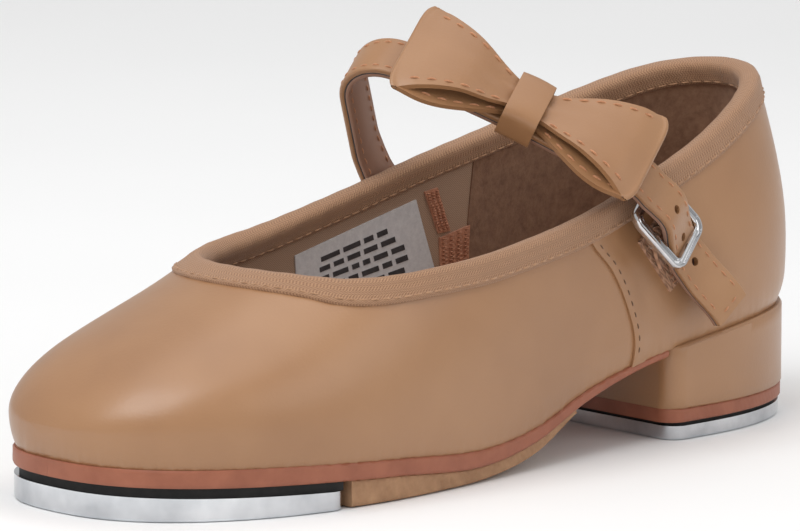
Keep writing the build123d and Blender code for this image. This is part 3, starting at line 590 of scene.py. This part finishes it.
# ------------------------------------------------------------------ binding
# closed section of the folded tape: (distance down from the edge, height off the surface)
SECTION = [(4.5, -0.3), (4.55, 0.2), (4.4, 0.66), (4.1, 0.74), (3.4, 0.76), (2.6, 0.78), (1.6, 0.8),
           (0.7, 0.82), (-0.1, 0.7), (-0.65, 0.25), (-0.85, -0.6), (-0.9, -1.5), (-0.8, -2.5),
           (-0.5, -3.1), (0.1, -3.5), (0.9, -3.6), (1.8, -3.55), (2.8, -3.5), (3.7, -3.55), (3.9, -3.3),
           (3.8, -2.6), (2.0, -1.5)]
tb = np.linspace(-math.pi, math.pi, 1001)[:-1]
edge, _n = wall(tb, 1.0)
along = arc_length(edge)
STEPS = np.linspace(0, 7.5, 16)
strips = np.stack([wall(tb, 1.0, s)[0] for s in STEPS])
side_way = np.gradient(edge, axis=0)
side_way /= np.linalg.norm(side_way, axis=1, keepdims=True)
moved = strips - edge[None]
moved = moved - (moved * side_way[None]).sum(-1, keepdims=True) * side_way[None]
REACH = np.linalg.norm(moved, axis=-1)


def drop_for(width):
    """Height below the edge that is width millimetres down the surface, round the opening."""
    if width <= 0:
        return np.full(len(tb), width)
    found = np.array([np.interp(width, REACH[:, i], STEPS) for i in range(len(tb))])
    return (np.roll(found, 3) + np.roll(found, -3) + found) / 3


verts, uvs = [], []
across = np.concatenate([[0], np.cumsum(np.hypot(*np.diff(np.array(SECTION), axis=0).T))])
for (drop, height), v in zip(SECTION, across):
    q, m = wall(tb, 1.0, drop_for(drop))
    ripple = 0.06 * np.sin(along * 0.9 + v)
    verts.append(q + m * (height + ripple[:, None]))
    uvs.append(np.stack([along, np.full_like(along, v)], -1))
verts = np.stack(verts, 1)
uvs = np.stack(uvs, 1)
binding = make("binding_skin", verts.reshape(-1, 3), quads(1000, len(SECTION), True, True), BINDING,
               "shoe", uvs, 60)
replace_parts(binding, "topline_binding")
rows = []
for drop, height, sign in ((3.75, 0.76, 1), (3.3, -3.53, -1)):
    q, m = wall(tb, 1.0, drop_for(drop))
    rows.append(resample(q + m * height, 0.5, m * sign))
stitches("binding_stitch", rows, THREAD_TAN, "shoe", 1.9, 0.5, 0.2, 0.22)


# ------------------------------------------------------------------ soles and heel
tp = np.linspace(0, math.pi, 700)


def plan_x(side, inset):
    """Outline of the sole's plan on one side, moved in by inset, as (y, x)."""
    y = (-91 + heel_end(22.0)) / 2 - (heel_end(22.0) + 91) / 2 * np.cos(tp)
    x = middle_x(y) + side * half_width(y, side, 10.0, heel_end(22.0))
    dx, dy = np.gradient(x), np.gradient(y)
    length = np.hypot(dx, dy)
    return y + side * dx / length * inset, x - side * dy / length * inset


def block(name, mat, y0, y1, inset, low, high, bevel, corner=0.0, rough=0.0):
    """Piece with the sole's plan outline from y0 to y1, between two heights that are numbers or
    functions of y; corner rounds its front edge in plan and rough makes its sides uneven."""
    (ya, xa), (yb, xb) = plan_x(1, inset), plan_x(-1, inset)
    y0, y1 = max(y0, ya.min(), yb.min()), min(y1, ya.max(), yb.max())
    s = np.linspace(0, math.pi, 260)
    ys = (y0 + y1) / 2 - (y1 - y0) / 2 * np.cos(s)
    right, left = np.interp(ys, ya, xa), np.interp(ys, yb, xb)
    if corner:
        cut = corner - np.sqrt(np.maximum(corner**2 - np.maximum(corner - (ys - y0), 0) ** 2, 0))
        right, left = right - cut, left + cut
    lo = low(ys) if callable(low) else np.full_like(ys, low)
    hi = high(ys) if callable(high) else np.full_like(ys, high)
    rows = []
    for x0, x1, z0, z1, y in zip(left, right, lo, hi, ys):
        b = max(min(bevel, (x1 - x0) / 2.2, (z1 - z0) / 2.2), 0.0)
        inner = np.linspace(0, 1, 14)
        levels = np.linspace(0, 1, 7)
        row = [(x0 + b + (x1 - x0 - 2 * b) * f, z0) for f in inner]
        for f in levels:
            z = z0 + b + (z1 - z0 - 2 * b) * f
            row.append((x1 + rough * math.sin(y * 3.1 + f * 5) * math.sin(y * 1.3), z))
        row += [(x1 - b - (x1 - x0 - 2 * b) * f, z1) for f in inner]
        for f in levels[::-1]:
            z = z0 + b + (z1 - z0 - 2 * b) * f
            row.append((x0 - rough * math.sin(y * 2.7 + f * 4), z))
        rows.append([(x, y, z) for x, z in row])
    v = np.array(rows)
    n, m = v.shape[:2]
    faces = quads(n, m, False, True).tolist()
    for base in (0, (n - 1) * m):
        faces.append([base + j for j in range(m)])
    return make(name, v.reshape(-1, 3), faces, mat, "shoe", angle=45)


def sole_low(y):
    return line(SOLE_LOW, y)


def sole_top(y):
    return line(SOLE_TOP, y) + 0.25


HEEL_BREAST, PAST_TOE, PAST_HEEL = 44.0, -95, 100
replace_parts(block("outsole_skin", SOLE, PAST_TOE, HEEL_BREAST, 0.7, sole_low, sole_top, 0.4,
                  rough=0.03), "outsole")
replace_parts(block("sole_pad_skin", RUBBER, -46.3, 18, 1.6, lambda y: line(PAD_LOW, y),
                  lambda y: line(SOLE_LOW, y) - 0.02, 0.25, rough=0.12), "sole_pad")
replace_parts(block("heel_cover_skin", TAN, HEEL_BREAST, PAST_HEEL, -0.3, 6.4, sole_top, 0.5,
                  corner=4.2), "heel_cover", "heel_core")
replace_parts(block("heel_lift_skin", SOLE, HEEL_BREAST, PAST_HEEL, -0.1, 3.7, 6.45, 0.25,
                  corner=4.0, rough=0.03), "heel_lift")

# ------------------------------------------------------------------ strap
# The strap's centre line lies in one slanting plane: s runs level across the shoe, r rises in the
# plane, and w is across the strap, along the hinges' axis.
O = np.array([0, 29.8, 42.0])
ZD = np.array([0.3106, -0.7687, -0.559])
ZD /= np.linalg.norm(ZD)
H = np.array([0.927, 0.375, 0])
H /= np.linalg.norm(H)
U = np.cross(ZD, H)
A = -ZD


def space(s, r, w=0.0):
    return O + np.multiply.outer(s, H) + np.multiply.outer(r, U) + np.multiply.outer(w, A)


LEAN_DEG = 13                          # lean of the straight end from upright
LEAN = math.radians(LEAN_DEG)
START = np.array([28.9, 15.0])
DOWN = np.array([math.sin(LEAN), -math.cos(LEAN)])
OUT = np.array([math.cos(LEAN), math.sin(LEAN)])


def end_spot(d, k):
    """Point d down the straight end and k outward from it."""
    return START + d * DOWN + k * OUT


def over(centre, radius, angle):
    """Point of an arc, at an angle in degrees from straight up."""
    angle = np.radians(angle)
    return np.stack([centre[0] + radius * np.sin(angle), centre[1] + radius * np.cos(angle)], -1)


TOP_RADIUS, KNOT_DEG = 200.0, 31.5      # the arch, and its slope at the bow's knot
CORNER_RADIUS, CORNER_DEG = 8.9, 24.0   # bend over the inner side of the foot
BEND_RADIUS, BEND_DEG = 8.0, 34         # bend over the outer side
KNOT = np.array([6.2, 30.05])
TOP_C = over(KNOT, -TOP_RADIUS, KNOT_DEG)
CORNER_C = over(over(TOP_C, TOP_RADIUS, CORNER_DEG), -CORNER_RADIUS, CORNER_DEG)
END_FROM = BEND_RADIUS * math.tan(math.radians((90 - LEAN_DEG - BEND_DEG) / 2))
BEND_WAY = np.array([-math.cos(math.radians(BEND_DEG)), math.sin(math.radians(BEND_DEG))])
BEND_0 = START + END_FROM * BEND_WAY
BEND_C = over(BEND_0, -BEND_RADIUS, BEND_DEG)


def strap_path():
    """Centre line from the sewn end to the free end, pressed in under the buckle's outer bar."""
    pts = [np.array([[-23.9, -8.8], [-24.3, -6], [-24.8, -3], [-25.7, 0], [-27.0, 3], [-28.3, 5.6],
                     [-29.6, 8.0], [-30.5, 11.0], [-30.9, 15], [-31.1, 19.5], [-30.5, 25.0]]),
           over(CORNER_C, CORNER_RADIUS, np.linspace(-84, CORNER_DEG, 40)),
           over(TOP_C, TOP_RADIUS, np.linspace(CORNER_DEG + 0.4, BEND_DEG, 40)),
           over(BEND_C, BEND_RADIUS, np.linspace(BEND_DEG + 1, 90 - LEAN_DEG, 24))]
    d = np.linspace(END_FROM + 0.5, 35.1, 50)
    bulge = (2.0 * np.exp(-((d - 8.5) / 4.3) ** 2) - 0.8 * np.exp(-((d - 19) / 3.5) ** 2)
             + 2.2 * ease((d - 23) / 12))
    pts.append(START + d[:, None] * DOWN + bulge[:, None] * OUT)
    path = resample(np.concatenate(pts), 0.5)
    for _ in range(5):
        path[1:-1] = (path[:-2] + 2 * path[1:-1] + path[2:]) / 4
    return path


PATH = strap_path()
TANG = np.gradient(PATH, axis=0)
TANG /= np.linalg.norm(TANG, axis=1, keepdims=True)
NORM = np.stack([-TANG[:, 1], TANG[:, 0]], -1)
SPLIT = int(np.argmin(np.linalg.norm(PATH - KNOT, axis=1)))
STRAP_MID = space(PATH[:, 0], PATH[:, 1])
STRAP_UP = np.multiply.outer(NORM[:, 0], H) + np.multiply.outer(NORM[:, 1], U)
# the free end turns a little about its own length, its back edge outward
TWIST = math.radians(16)
TURN = TWIST * ease(((PATH - START) @ DOWN - 10) / 20) * (np.arange(len(PATH)) > SPLIT)
STRAP_SIDE = A * np.cos(TURN)[:, None] + STRAP_UP * np.sin(TURN)[:, None]
STRAP_UP = STRAP_UP * np.cos(TURN)[:, None] - A * np.sin(TURN)[:, None]


def rounded(w, low, high, r):
    """Cross-section of one strap layer: a flat strip with its outer corners rounded."""
    out = []
    for cx, cz, a0 in ((w - r, high - r, 0), (-w + r, high - r, 90)):
        for a in np.radians(np.linspace(a0, a0 + 90, 6)):
            out.append((cx + r * math.cos(a), cz + r * math.sin(a)))
    q = min(r, 0.15)
    out += [(-w, low + q), (-w + q, low), (w - q, low), (w, low + q)]
    return np.array(out)


STRAP_TOP, STITCH_AT = 1.12, 3.45
HOLES, HOLE_RADIUS = (8.4, 15.2, 22.0), 0.0009


def strap_layer(name, mat, section, part):
    sl = slice(0, SPLIT + 2) if part == "arch" else slice(SPLIT - 2, None)
    v, f = tube(STRAP_MID[sl], STRAP_SIDE[sl], STRAP_UP[sl], section)
    return make(name, v, f, mat, None, angle=50)


def metres(q):
    """Point of the foot form as a place in the part's frame, in metres."""
    return tuple((np.asarray(q) + SHIFT) / 1000)


def bend(obj, part):
    """Bake a strap piece's placement into its mesh; both parts are treated alike."""
    if part == "arch":
        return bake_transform(obj)
    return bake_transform(obj)


def punch(obj):
    """Tongue holes through the strap's end."""
    cutters = []
    for d in HOLES:
        spot = PATH[np.argmin(np.abs((PATH - START) @ DOWN - d) + 50 * (PATH[:, 0] < 25))]
        nrm = STRAP_UP[np.argmin(np.linalg.norm(PATH - spot, axis=1))]
        bpy.ops.mesh.primitive_cylinder_add(vertices=24, radius=HOLE_RADIUS, depth=0.008,
                                            location=metres(space(*spot)),
                                            rotation=Vector(nrm).to_track_quat("Z", "Y").to_euler())
        cutters.append(bpy.context.object)
    for cutter in cutters:
        mod = obj.modifiers.new("hole", "BOOLEAN")
        mod.object, mod.operation, mod.solver = cutter, "DIFFERENCE", "EXACT"
    bpy.context.view_layer.update()
    mesh = bpy.data.meshes.new_from_object(obj.evaluated_get(bpy.context.evaluated_depsgraph_get()))
    obj.modifiers.clear()
    obj.data = mesh
    for cutter in cutters:
        bpy.data.objects.remove(cutter)


SEWN = {}
for part in ("arch", "end"):
    for layer, mat, section in (("outer", TAN_STRAP, rounded(4.75, -0.05, STRAP_TOP, 0.45)),
                                ("core", CUT_EDGE, rounded(4.7, -0.3, 0.0, 0.1)),
                                ("lining", PINK_LINING, rounded(4.72, -1.1, -0.25, 0.2))):
        obj = strap_layer(f"strap_{layer}_{part}", mat, section, part)
        if part == "end":
            punch(obj)
        bend(obj, part)
        SEWN[layer, part] = obj
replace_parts(SEWN["outer", "arch"], "strap_outer", "strap_root")
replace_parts(SEWN["outer", "end"], "strap_end_outer")
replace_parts(SEWN["lining", "arch"], "strap_lining")
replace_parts(SEWN["lining", "end"], "strap_end_lining")

for part in ("arch", "end"):
    sl = slice(3, SPLIT - 8) if part == "arch" else slice(SPLIT + 8, -3)
    rows = []
    for w in (-STITCH_AT, STITCH_AT):
        rows.append((STRAP_MID[sl] + STRAP_SIDE[sl] * w + STRAP_UP[sl] * STRAP_TOP, STRAP_UP[sl]))
        rows.append(((STRAP_MID[sl] + STRAP_SIDE[sl] * w - STRAP_UP[sl] * 1.1)[::-1], -STRAP_UP[sl][::-1]))
    if part == "end":
        k = -4
        e = np.linspace(-3.2, 3.2, 14)[:, None]
        tip_row = STRAP_MID[k] + STRAP_SIDE[k] * e + STRAP_UP[k] * STRAP_TOP
        rows.append((tip_row, np.broadcast_to(STRAP_UP[k], tip_row.shape)))
    bend(stitches(f"strap_stitch_{part}", rows, THREAD, None, 1.8, 0.9, 0.2, 0.22), part)

# ------------------------------------------------------------------ bow
# x runs along the wings from the knot, y across them and z off the strap
KNOT_WAY = np.array([math.cos(math.radians(KNOT_DEG)), -math.sin(math.radians(KNOT_DEG))])
KNOT_UP = np.array([-KNOT_WAY[1], KNOT_WAY[0]])
BOW_X = KNOT_WAY[0] * H + KNOT_WAY[1] * U
BOW_Z = KNOT_UP[0] * H + KNOT_UP[1] * U
BOW_Y = np.cross(BOW_Z, BOW_X)
BOW_AT = space(*(KNOT + 1.1 * KNOT_UP))


def bow_space(x, y, z):
    return BOW_AT + np.multiply.outer(x, BOW_X) + np.multiply.outer(y, BOW_Y) + np.multiply.outer(z, BOW_Z)


WIDTH = [(0, 3.2), (3.6, 3.6), (10, 5.9), (18, 9.1), (26.2, 11.9)]
# heights of the upper and the lower layer along each wing
WINGS = {1: ([(0, 3.5), (6, 4.3), (13.5, 6.3), (21, 6.1), (26.0, 4.2)],
             [(0, 0.6), (6, 0.7), (13.5, 1.2), (21, 1.8), (26.0, 2.3)]),
         -1: ([(0, 3.5), (6, 4.3), (13.5, 6.2), (21, 5.4), (25.7, 3.6)],
              [(0, 0.6), (6, 0.7), (13.5, 1.1), (21, 1.5), (25.7, 1.7)])}
BOW_HALF_THICK = 0.55
ACROSS_WING = np.linspace(-1, 1, 41)


def wing_profile(top, low):
    """Side view of a wing: out along the lower layer, round the fold and back along the upper."""
    end_x = top[-1][0]
    x = np.linspace(0.2, end_x, 60)
    fold = np.radians(np.linspace(-80, 80, 9))
    mid = (line(top, end_x) + line(low, end_x)) / 2
    r = (line(top, end_x) - line(low, end_x)) / 2 - BOW_HALF_THICK
    return np.concatenate([np.stack([x, line(low, x) + BOW_HALF_THICK], -1),
                           np.stack([end_x + r * np.cos(fold) * 0.8, mid + r * np.sin(fold)], -1),
                           np.stack([x, line(top, x) - BOW_HALF_THICK], -1)[::-1]])


def bow_wing(sign, top, low):
    """One folded wing of the bow. Returns the rows of its stitches."""
    prof = wing_profile(top, low)
    g = np.gradient(prof, axis=0)
    g /= np.linalg.norm(g, axis=1, keepdims=True)
    m = np.stack([g[:, 1], -g[:, 0]], -1)
    eta = ACROSS_WING[None]
    upper = ease((prof[:, 1] - line(low, prof[:, 0]) - 0.6) / 1.2)[:, None]
    bulge = 0.3 * np.sin(math.pi * np.clip(prof[:, :1] / top[-1][0], 0, 1)) ** 1.2
    x = np.broadcast_to(prof[:, :1], (len(prof), ACROSS_WING.size)).copy()
    y = line(WIDTH, prof[:, 0])[:, None] * eta * (1 + bulge * (1 - upper))
    creases = 0.25 * np.cos(y * 1.5 + 0.6 * sign) * np.exp(-np.maximum(x - 3.6, 0) / 4.0) * upper
    z = (prof[:, 1:] + creases - 0.9 * eta ** 2 * np.clip(x / 27, 0, 1) * upper
         + 0.35 * eta ** 2 * (1 - upper) * x / 27)
    x = x - 1.3 * np.abs(eta) ** 8 * np.clip((x - 18) / 8, 0, 1)
    pts = bow_space(sign * x, y, z)
    nrm = np.multiply.outer(sign * m[:, 0], BOW_X)[:, None] + np.multiply.outer(m[:, 1], BOW_Z)[:, None]
    nrm = np.broadcast_to(nrm, pts.shape)
    name = "outer" if sign > 0 else "inner"
    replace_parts(shell(f"bow_wing_{name}", pts, nrm, BOW_HALF_THICK, -BOW_HALF_THICK, TAN_STRAP, "bow"),
                "bow_loop")
    upper_run, lower_run = slice(len(prof) - 57, len(prof) - 9), slice(9, 57)
    rows = []
    for e in (3, 37):
        for run, face, first in ((upper_run, 1, 1), (lower_run, 1, 0), (lower_run, -1, 0)):
            q, way = resample(pts[run, e][first:], 0.5, face * nrm[run, e][first:])
            rows.append((q + way * 0.56, way))
    return rows


rows_bow = [row for sign, (top, low) in WINGS.items() for row in bow_wing(sign, top, low)]
stitches("bow_stitch", rows_bow, THREAD, "bow", 2.0, 1.35, 0.25, 0.24)

# the knot: a strip wrapped round the middle, on a squared ring
a = np.linspace(0, 2 * math.pi, 161)[:-1]
power = 0.45
knot_half = 3.6
ky = 5.8 * np.sign(np.cos(a)) * np.abs(np.cos(a)) ** power
kz = 0.65 + 3.9 * np.sign(np.sin(a)) * np.abs(np.sin(a)) ** power
kj = np.linspace(-knot_half, knot_half, 25)
ring = np.stack([ky, kz], -1)
g = np.roll(ring, -1, 0) - np.roll(ring, 1, 0)
g /= np.linalg.norm(g, axis=1, keepdims=True)
rn = np.stack([g[:, 1], -g[:, 0]], -1)
pts = bow_space(np.broadcast_to(kj, (160, 25)), np.broadcast_to(ring[:, :1], (160, 25)),
                np.broadcast_to(ring[:, 1:], (160, 25)))
nrm = (np.multiply.outer(rn[:, 0], BOW_Y) + np.multiply.outer(rn[:, 1], BOW_Z))[:, None]
nrm = np.broadcast_to(nrm, pts.shape)
pillow = 0.55 + 0.3 * (1 - (kj / knot_half) ** 2)[None] * np.clip(rn[:, 1:], 0, 1)
knot = shell("bow_knot_skin", pts, nrm, pillow, -0.5, TAN_STRAP, "bow", wrap=True)
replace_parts(knot, "bow_knot")

# ------------------------------------------------------------------ buckle
# bars as (down the straight end, outward); the ring lies a little closer to the shoe
OUTER_BAR, CENTRE_BAR, INNER_BAR = (20.3, 3.9), (12.1, -2.65), (4.7, -2.0)
inner_bar = end_spot(INNER_BAR[0] - 0.3, INNER_BAR[1] - 0.4)
outer_bar = end_spot(OUTER_BAR[0] - 2.4, OUTER_BAR[1] - 3.0)
ring_way = (outer_bar - inner_bar) / np.linalg.norm(outer_bar - inner_bar)
RING_ALONG = ring_way[0] * H + ring_way[1] * U
RING_UP = np.cross(RING_ALONG, A)
if RING_UP @ (OUT[0] * H + OUT[1] * U) < 0:
    RING_UP = -RING_UP
END_OUT = OUT[0] * H + OUT[1] * U
END_DOWN = DOWN[0] * H + DOWN[1] * U
centre = space(*((inner_bar + outer_bar) / 2))
half_l, half_w, r = np.linalg.norm(outer_bar - inner_bar) / 2, 6.2, 2.0
loop = []
for cx, cy, a0 in ((half_l - r, half_w - r, 0), (-half_l + r, half_w - r, 90),
                   (-half_l + r, -half_w + r, 180), (half_l - r, -half_w + r, 270)):
    for ang in np.radians(np.linspace(a0, a0 + 90, 12)):
        loop.append((cx + r * math.cos(ang), cy + r * math.sin(ang), math.cos(ang), math.sin(ang)))
loop = np.array(loop)
ring = centre + loop[:, :1] * RING_ALONG + loop[:, 1:2] * A
radial = loop[:, 2:3] * RING_ALONG + loop[:, 3:4] * A
channel = 1.15 * np.array([(-0.72, -0.62), (-0.9, -0.3), (-0.9, 0.55), (-0.75, 0.78), (-0.5, 0.78),
                           (-0.32, 0.3), (0.0, 0.18), (0.32, 0.3), (0.5, 0.78), (0.75, 0.78),
                           (0.9, 0.55), (0.9, -0.3), (0.72, -0.62)])
v, f = tube(ring, radial, np.broadcast_to(RING_UP, ring.shape), channel, closed=True)
parts_v, parts_f = [v], list(f)
circle = np.array([(math.cos(q), math.sin(q)) for q in np.linspace(0, 2 * math.pi, 17)[:-1]])


def add_rod(path, radius, fa, fb):
    """Round bar along a path, added to the buckle's mesh."""
    start = sum(len(q) for q in parts_v)
    path = np.asarray(path, float)
    vv, ff = tube(path, np.broadcast_to(fa, path.shape), np.broadcast_to(fb, path.shape), circle * radius)
    parts_v.append(vv)
    parts_f.extend([[start + i for i in face] for face in ff])


middle_bar = space(*end_spot(*CENTRE_BAR))
add_rod([middle_bar - A * 5.9, middle_bar + A * 5.9], 0.45, H, U)
rail_at = inner_bar + ring_way * (CENTRE_BAR[0] - INNER_BAR[0])
for w in (-5.75, 5.75):
    add_rod([space(*rail_at) + A * w, middle_bar + A * w], 0.6, A, END_DOWN)
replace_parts(make("buckle_frame_skin", np.concatenate(parts_v), parts_f, CHROME, "buckle", angle=35),
            "buckle_frame")

# elastic: a tail on the quarter and a ruffled fold round the centre bar
END_TOP = space(*START)
i, j = np.meshgrid(np.linspace(0, 1, 60), np.linspace(0, 1, 26), indexing="ij")
d = 11.6 + 13.4 * i
w = -4.6 + 9.2 * j + 0.2 * i
base = END_TOP + d[..., None] * END_DOWN + w[..., None] * A
lo, hi = np.full(d.shape, -12.0), np.full(d.shape, 3.0)
for _ in range(30):                    # halve the gap to the wall until the tail lies on it
    mid = (lo + hi) / 2
    q = base + mid[..., None] * END_OUT
    x, _m = on_wall(q[..., 1], q[..., 2], 1, 0.0)
    inside = q[..., 0] < x[..., 0]
    lo, hi = np.where(inside, mid, lo), np.where(inside, hi, mid)
tail = base + lo[..., None] * END_OUT
ruffle = 0.16 * np.sin(d * 3.4 + 0.25 * w) * ease((25 - d) / 8) + 0.03 * np.sin(d * 5 + w)
_q, tail_n = on_wall(tail[..., 1], tail[..., 2], 1, 0.0)
uv = np.stack([d, w], -1)
elastic = shell("elastic_tail_skin", tail, tail_n, 0.9 + ruffle, 0.1, ELASTIC, "shoe", uv)
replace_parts(elastic, "buckle_elastic")
for w0, w1, tag in ((-4.6, -1.1, "a"), (1.1, 4.6, "b")):
    ang = np.linspace(0, 2 * math.pi, 49)[:-1]
    ws = np.linspace(w0, w1, 22)
    rad = 1.02 + 0.09 * np.sin(ws * 7)[None] + 0.04 * np.sin(ang * 5)[:, None]
    pts = middle_bar + ws[None, :, None] * A + (np.cos(ang)[:, None] * rad)[..., None] * END_DOWN \
        + (np.sin(ang)[:, None] * rad)[..., None] * END_OUT
    nn = (np.multiply.outer(np.cos(ang), END_DOWN) + np.multiply.outer(np.sin(ang), END_OUT))[:, None]
    nn = np.broadcast_to(nn, pts.shape)
    uv = np.stack([np.broadcast_to(ang[:, None] * 1.2, rad.shape), np.broadcast_to(ws, rad.shape)], -1)
    shell(f"elastic_fold_{tag}", pts, nn, 0.2, -0.2, ELASTIC, "shoe", uv, wrap=True)
    web = np.array([space(*end_spot(13.0, -3.0)), space(*end_spot(16.5, -3.9)), space(*end_spot(19, -4.3))])
    m = resample(web, 0.6)
    sheet_pts = m[:, None] + ws[None, :, None] * A
    uv = np.stack([np.broadcast_to(arc_length(m)[:, None], sheet_pts.shape[:2]),
                   np.broadcast_to(ws, sheet_pts.shape[:2])], -1)
    shell(f"elastic_web_{tag}", sheet_pts, np.broadcast_to(END_OUT, sheet_pts.shape), 0.3, -0.4, ELASTIC,
          "shoe", uv)
k = 55
stitches("elastic_stitch", [(tail[k, 2:-2] + tail_n[k, 2:-2] * 0.95, tail_n[k, 2:-2]),
                            (tail[k - 6, 2:-2] + tail_n[k - 6, 2:-2] * 0.95, tail_n[k - 6, 2:-2])],
         THREAD, "shoe", 1.4, 0.7, 0.17, 0.18)

# ------------------------------------------------------------------ finishes of the CAD pieces
FINISH = {"tan_leather": TAN, "pink_brown_lining": PINK_LINING, "orange_textile": ORANGE,
          "twill_lining": TWILL, "suede_lining": SOCK, "foam": FOAM, "label_tape": LABEL,
          "woven_binding": BINDING,
          "stiffener_board": STIFF, "fibre_board": FIBRE, "brown_sole": SOLE, "black_board": BOARD,
          "tan_rubber": RUBBER, "tap_metal": TAP, "steel": STEEL, "buckle_chrome": CHROME}
for part in frame["record"]["subparts"]:
    obj = NODES[part["node"]]
    obj.data.materials.clear()
    obj.data.materials.append(FINISH[part["material_slot"]])

# ------------------------------------------------------------------ camera, light, floor
camera_data = bpy.data.cameras.new("camera")
camera = bpy.data.objects.new("camera", camera_data)
bpy.context.scene.collection.objects.link(camera)
bpy.context.scene.camera = camera
CAMERA_AZ, CAMERA_EL, CAMERA_FAR = math.radians(47.52), math.radians(9.54), 1.30844
back = Vector((math.sin(CAMERA_AZ) * math.cos(CAMERA_EL), -math.cos(CAMERA_AZ) * math.cos(CAMERA_EL),
               math.sin(CAMERA_EL)))
target = Vector((SHIFT[0] / 1000, SHIFT[1] / 1000, 0.035))
camera.location = target + back * CAMERA_FAR
camera.rotation_euler = back.to_track_quat("Z", "Y").to_euler()
camera_data.sensor_width = 36.0
camera_data.lens = 300.3
camera_data.shift_x, camera_data.shift_y = -0.0238, 0.0155
camera_data.clip_end = 20


def light(name, energy, size, az, el, dist):
    """Rectangular soft light that faces the shoe from an azimuth and elevation in degrees."""
    data = bpy.data.lights.new(name, "AREA")
    data.energy = energy
    data.shape, data.size, data.size_y = "RECTANGLE", size[0], size[1]
    obj = bpy.data.objects.new(name, data)
    bpy.context.scene.collection.objects.link(obj)
    a, e = math.radians(az), math.radians(el)
    way = Vector((math.sin(a) * math.cos(e), -math.cos(a) * math.cos(e), math.sin(e)))
    obj.location = Vector((0, 0, 0.04)) + way * dist
    obj.rotation_euler = way.to_track_quat("Z", "Y").to_euler()


light("key", 8.5, (0.9, 0.7), 5, 55, 1.3)
light("fill", 3.2, (1.2, 0.8), 110, 30, 1.5)
light("top", 6.5, (1.4, 1.4), 180, 80, 1.4)

world = bpy.data.worlds.new("world")
bpy.context.scene.world = world
world.use_nodes = True
world.node_tree.nodes["Background"].inputs["Color"].default_value = (1, 1, 1, 1)
world.node_tree.nodes["Background"].inputs["Strength"].default_value = 0.55


def floor_build(nt, bsdf):
    grey = ramp(nt, noise(nt, coords(nt), 3, 2), [(0.3, (0.86, 0.86, 0.86, 1)), (0.7, (0.9, 0.9, 0.9, 1))])
    nt.links.new(grey, bsdf.inputs["Base Color"])
    bsdf.inputs["Roughness"].default_value = 0.7


floor_mesh = bpy.data.meshes.new("floor")
floor_mesh.from_pydata([(-4, -4, 0), (4, -4, 0), (4, 4, 0), (-4, 4, 0)], [], [(0, 1, 2, 3)])
floor_mesh.materials.append(material("floor", floor_build))
floor = bpy.data.objects.new("floor", floor_mesh)
bpy.context.scene.collection.objects.link(floor)
bpy.context.scene.view_settings.view_transform = "Standard"
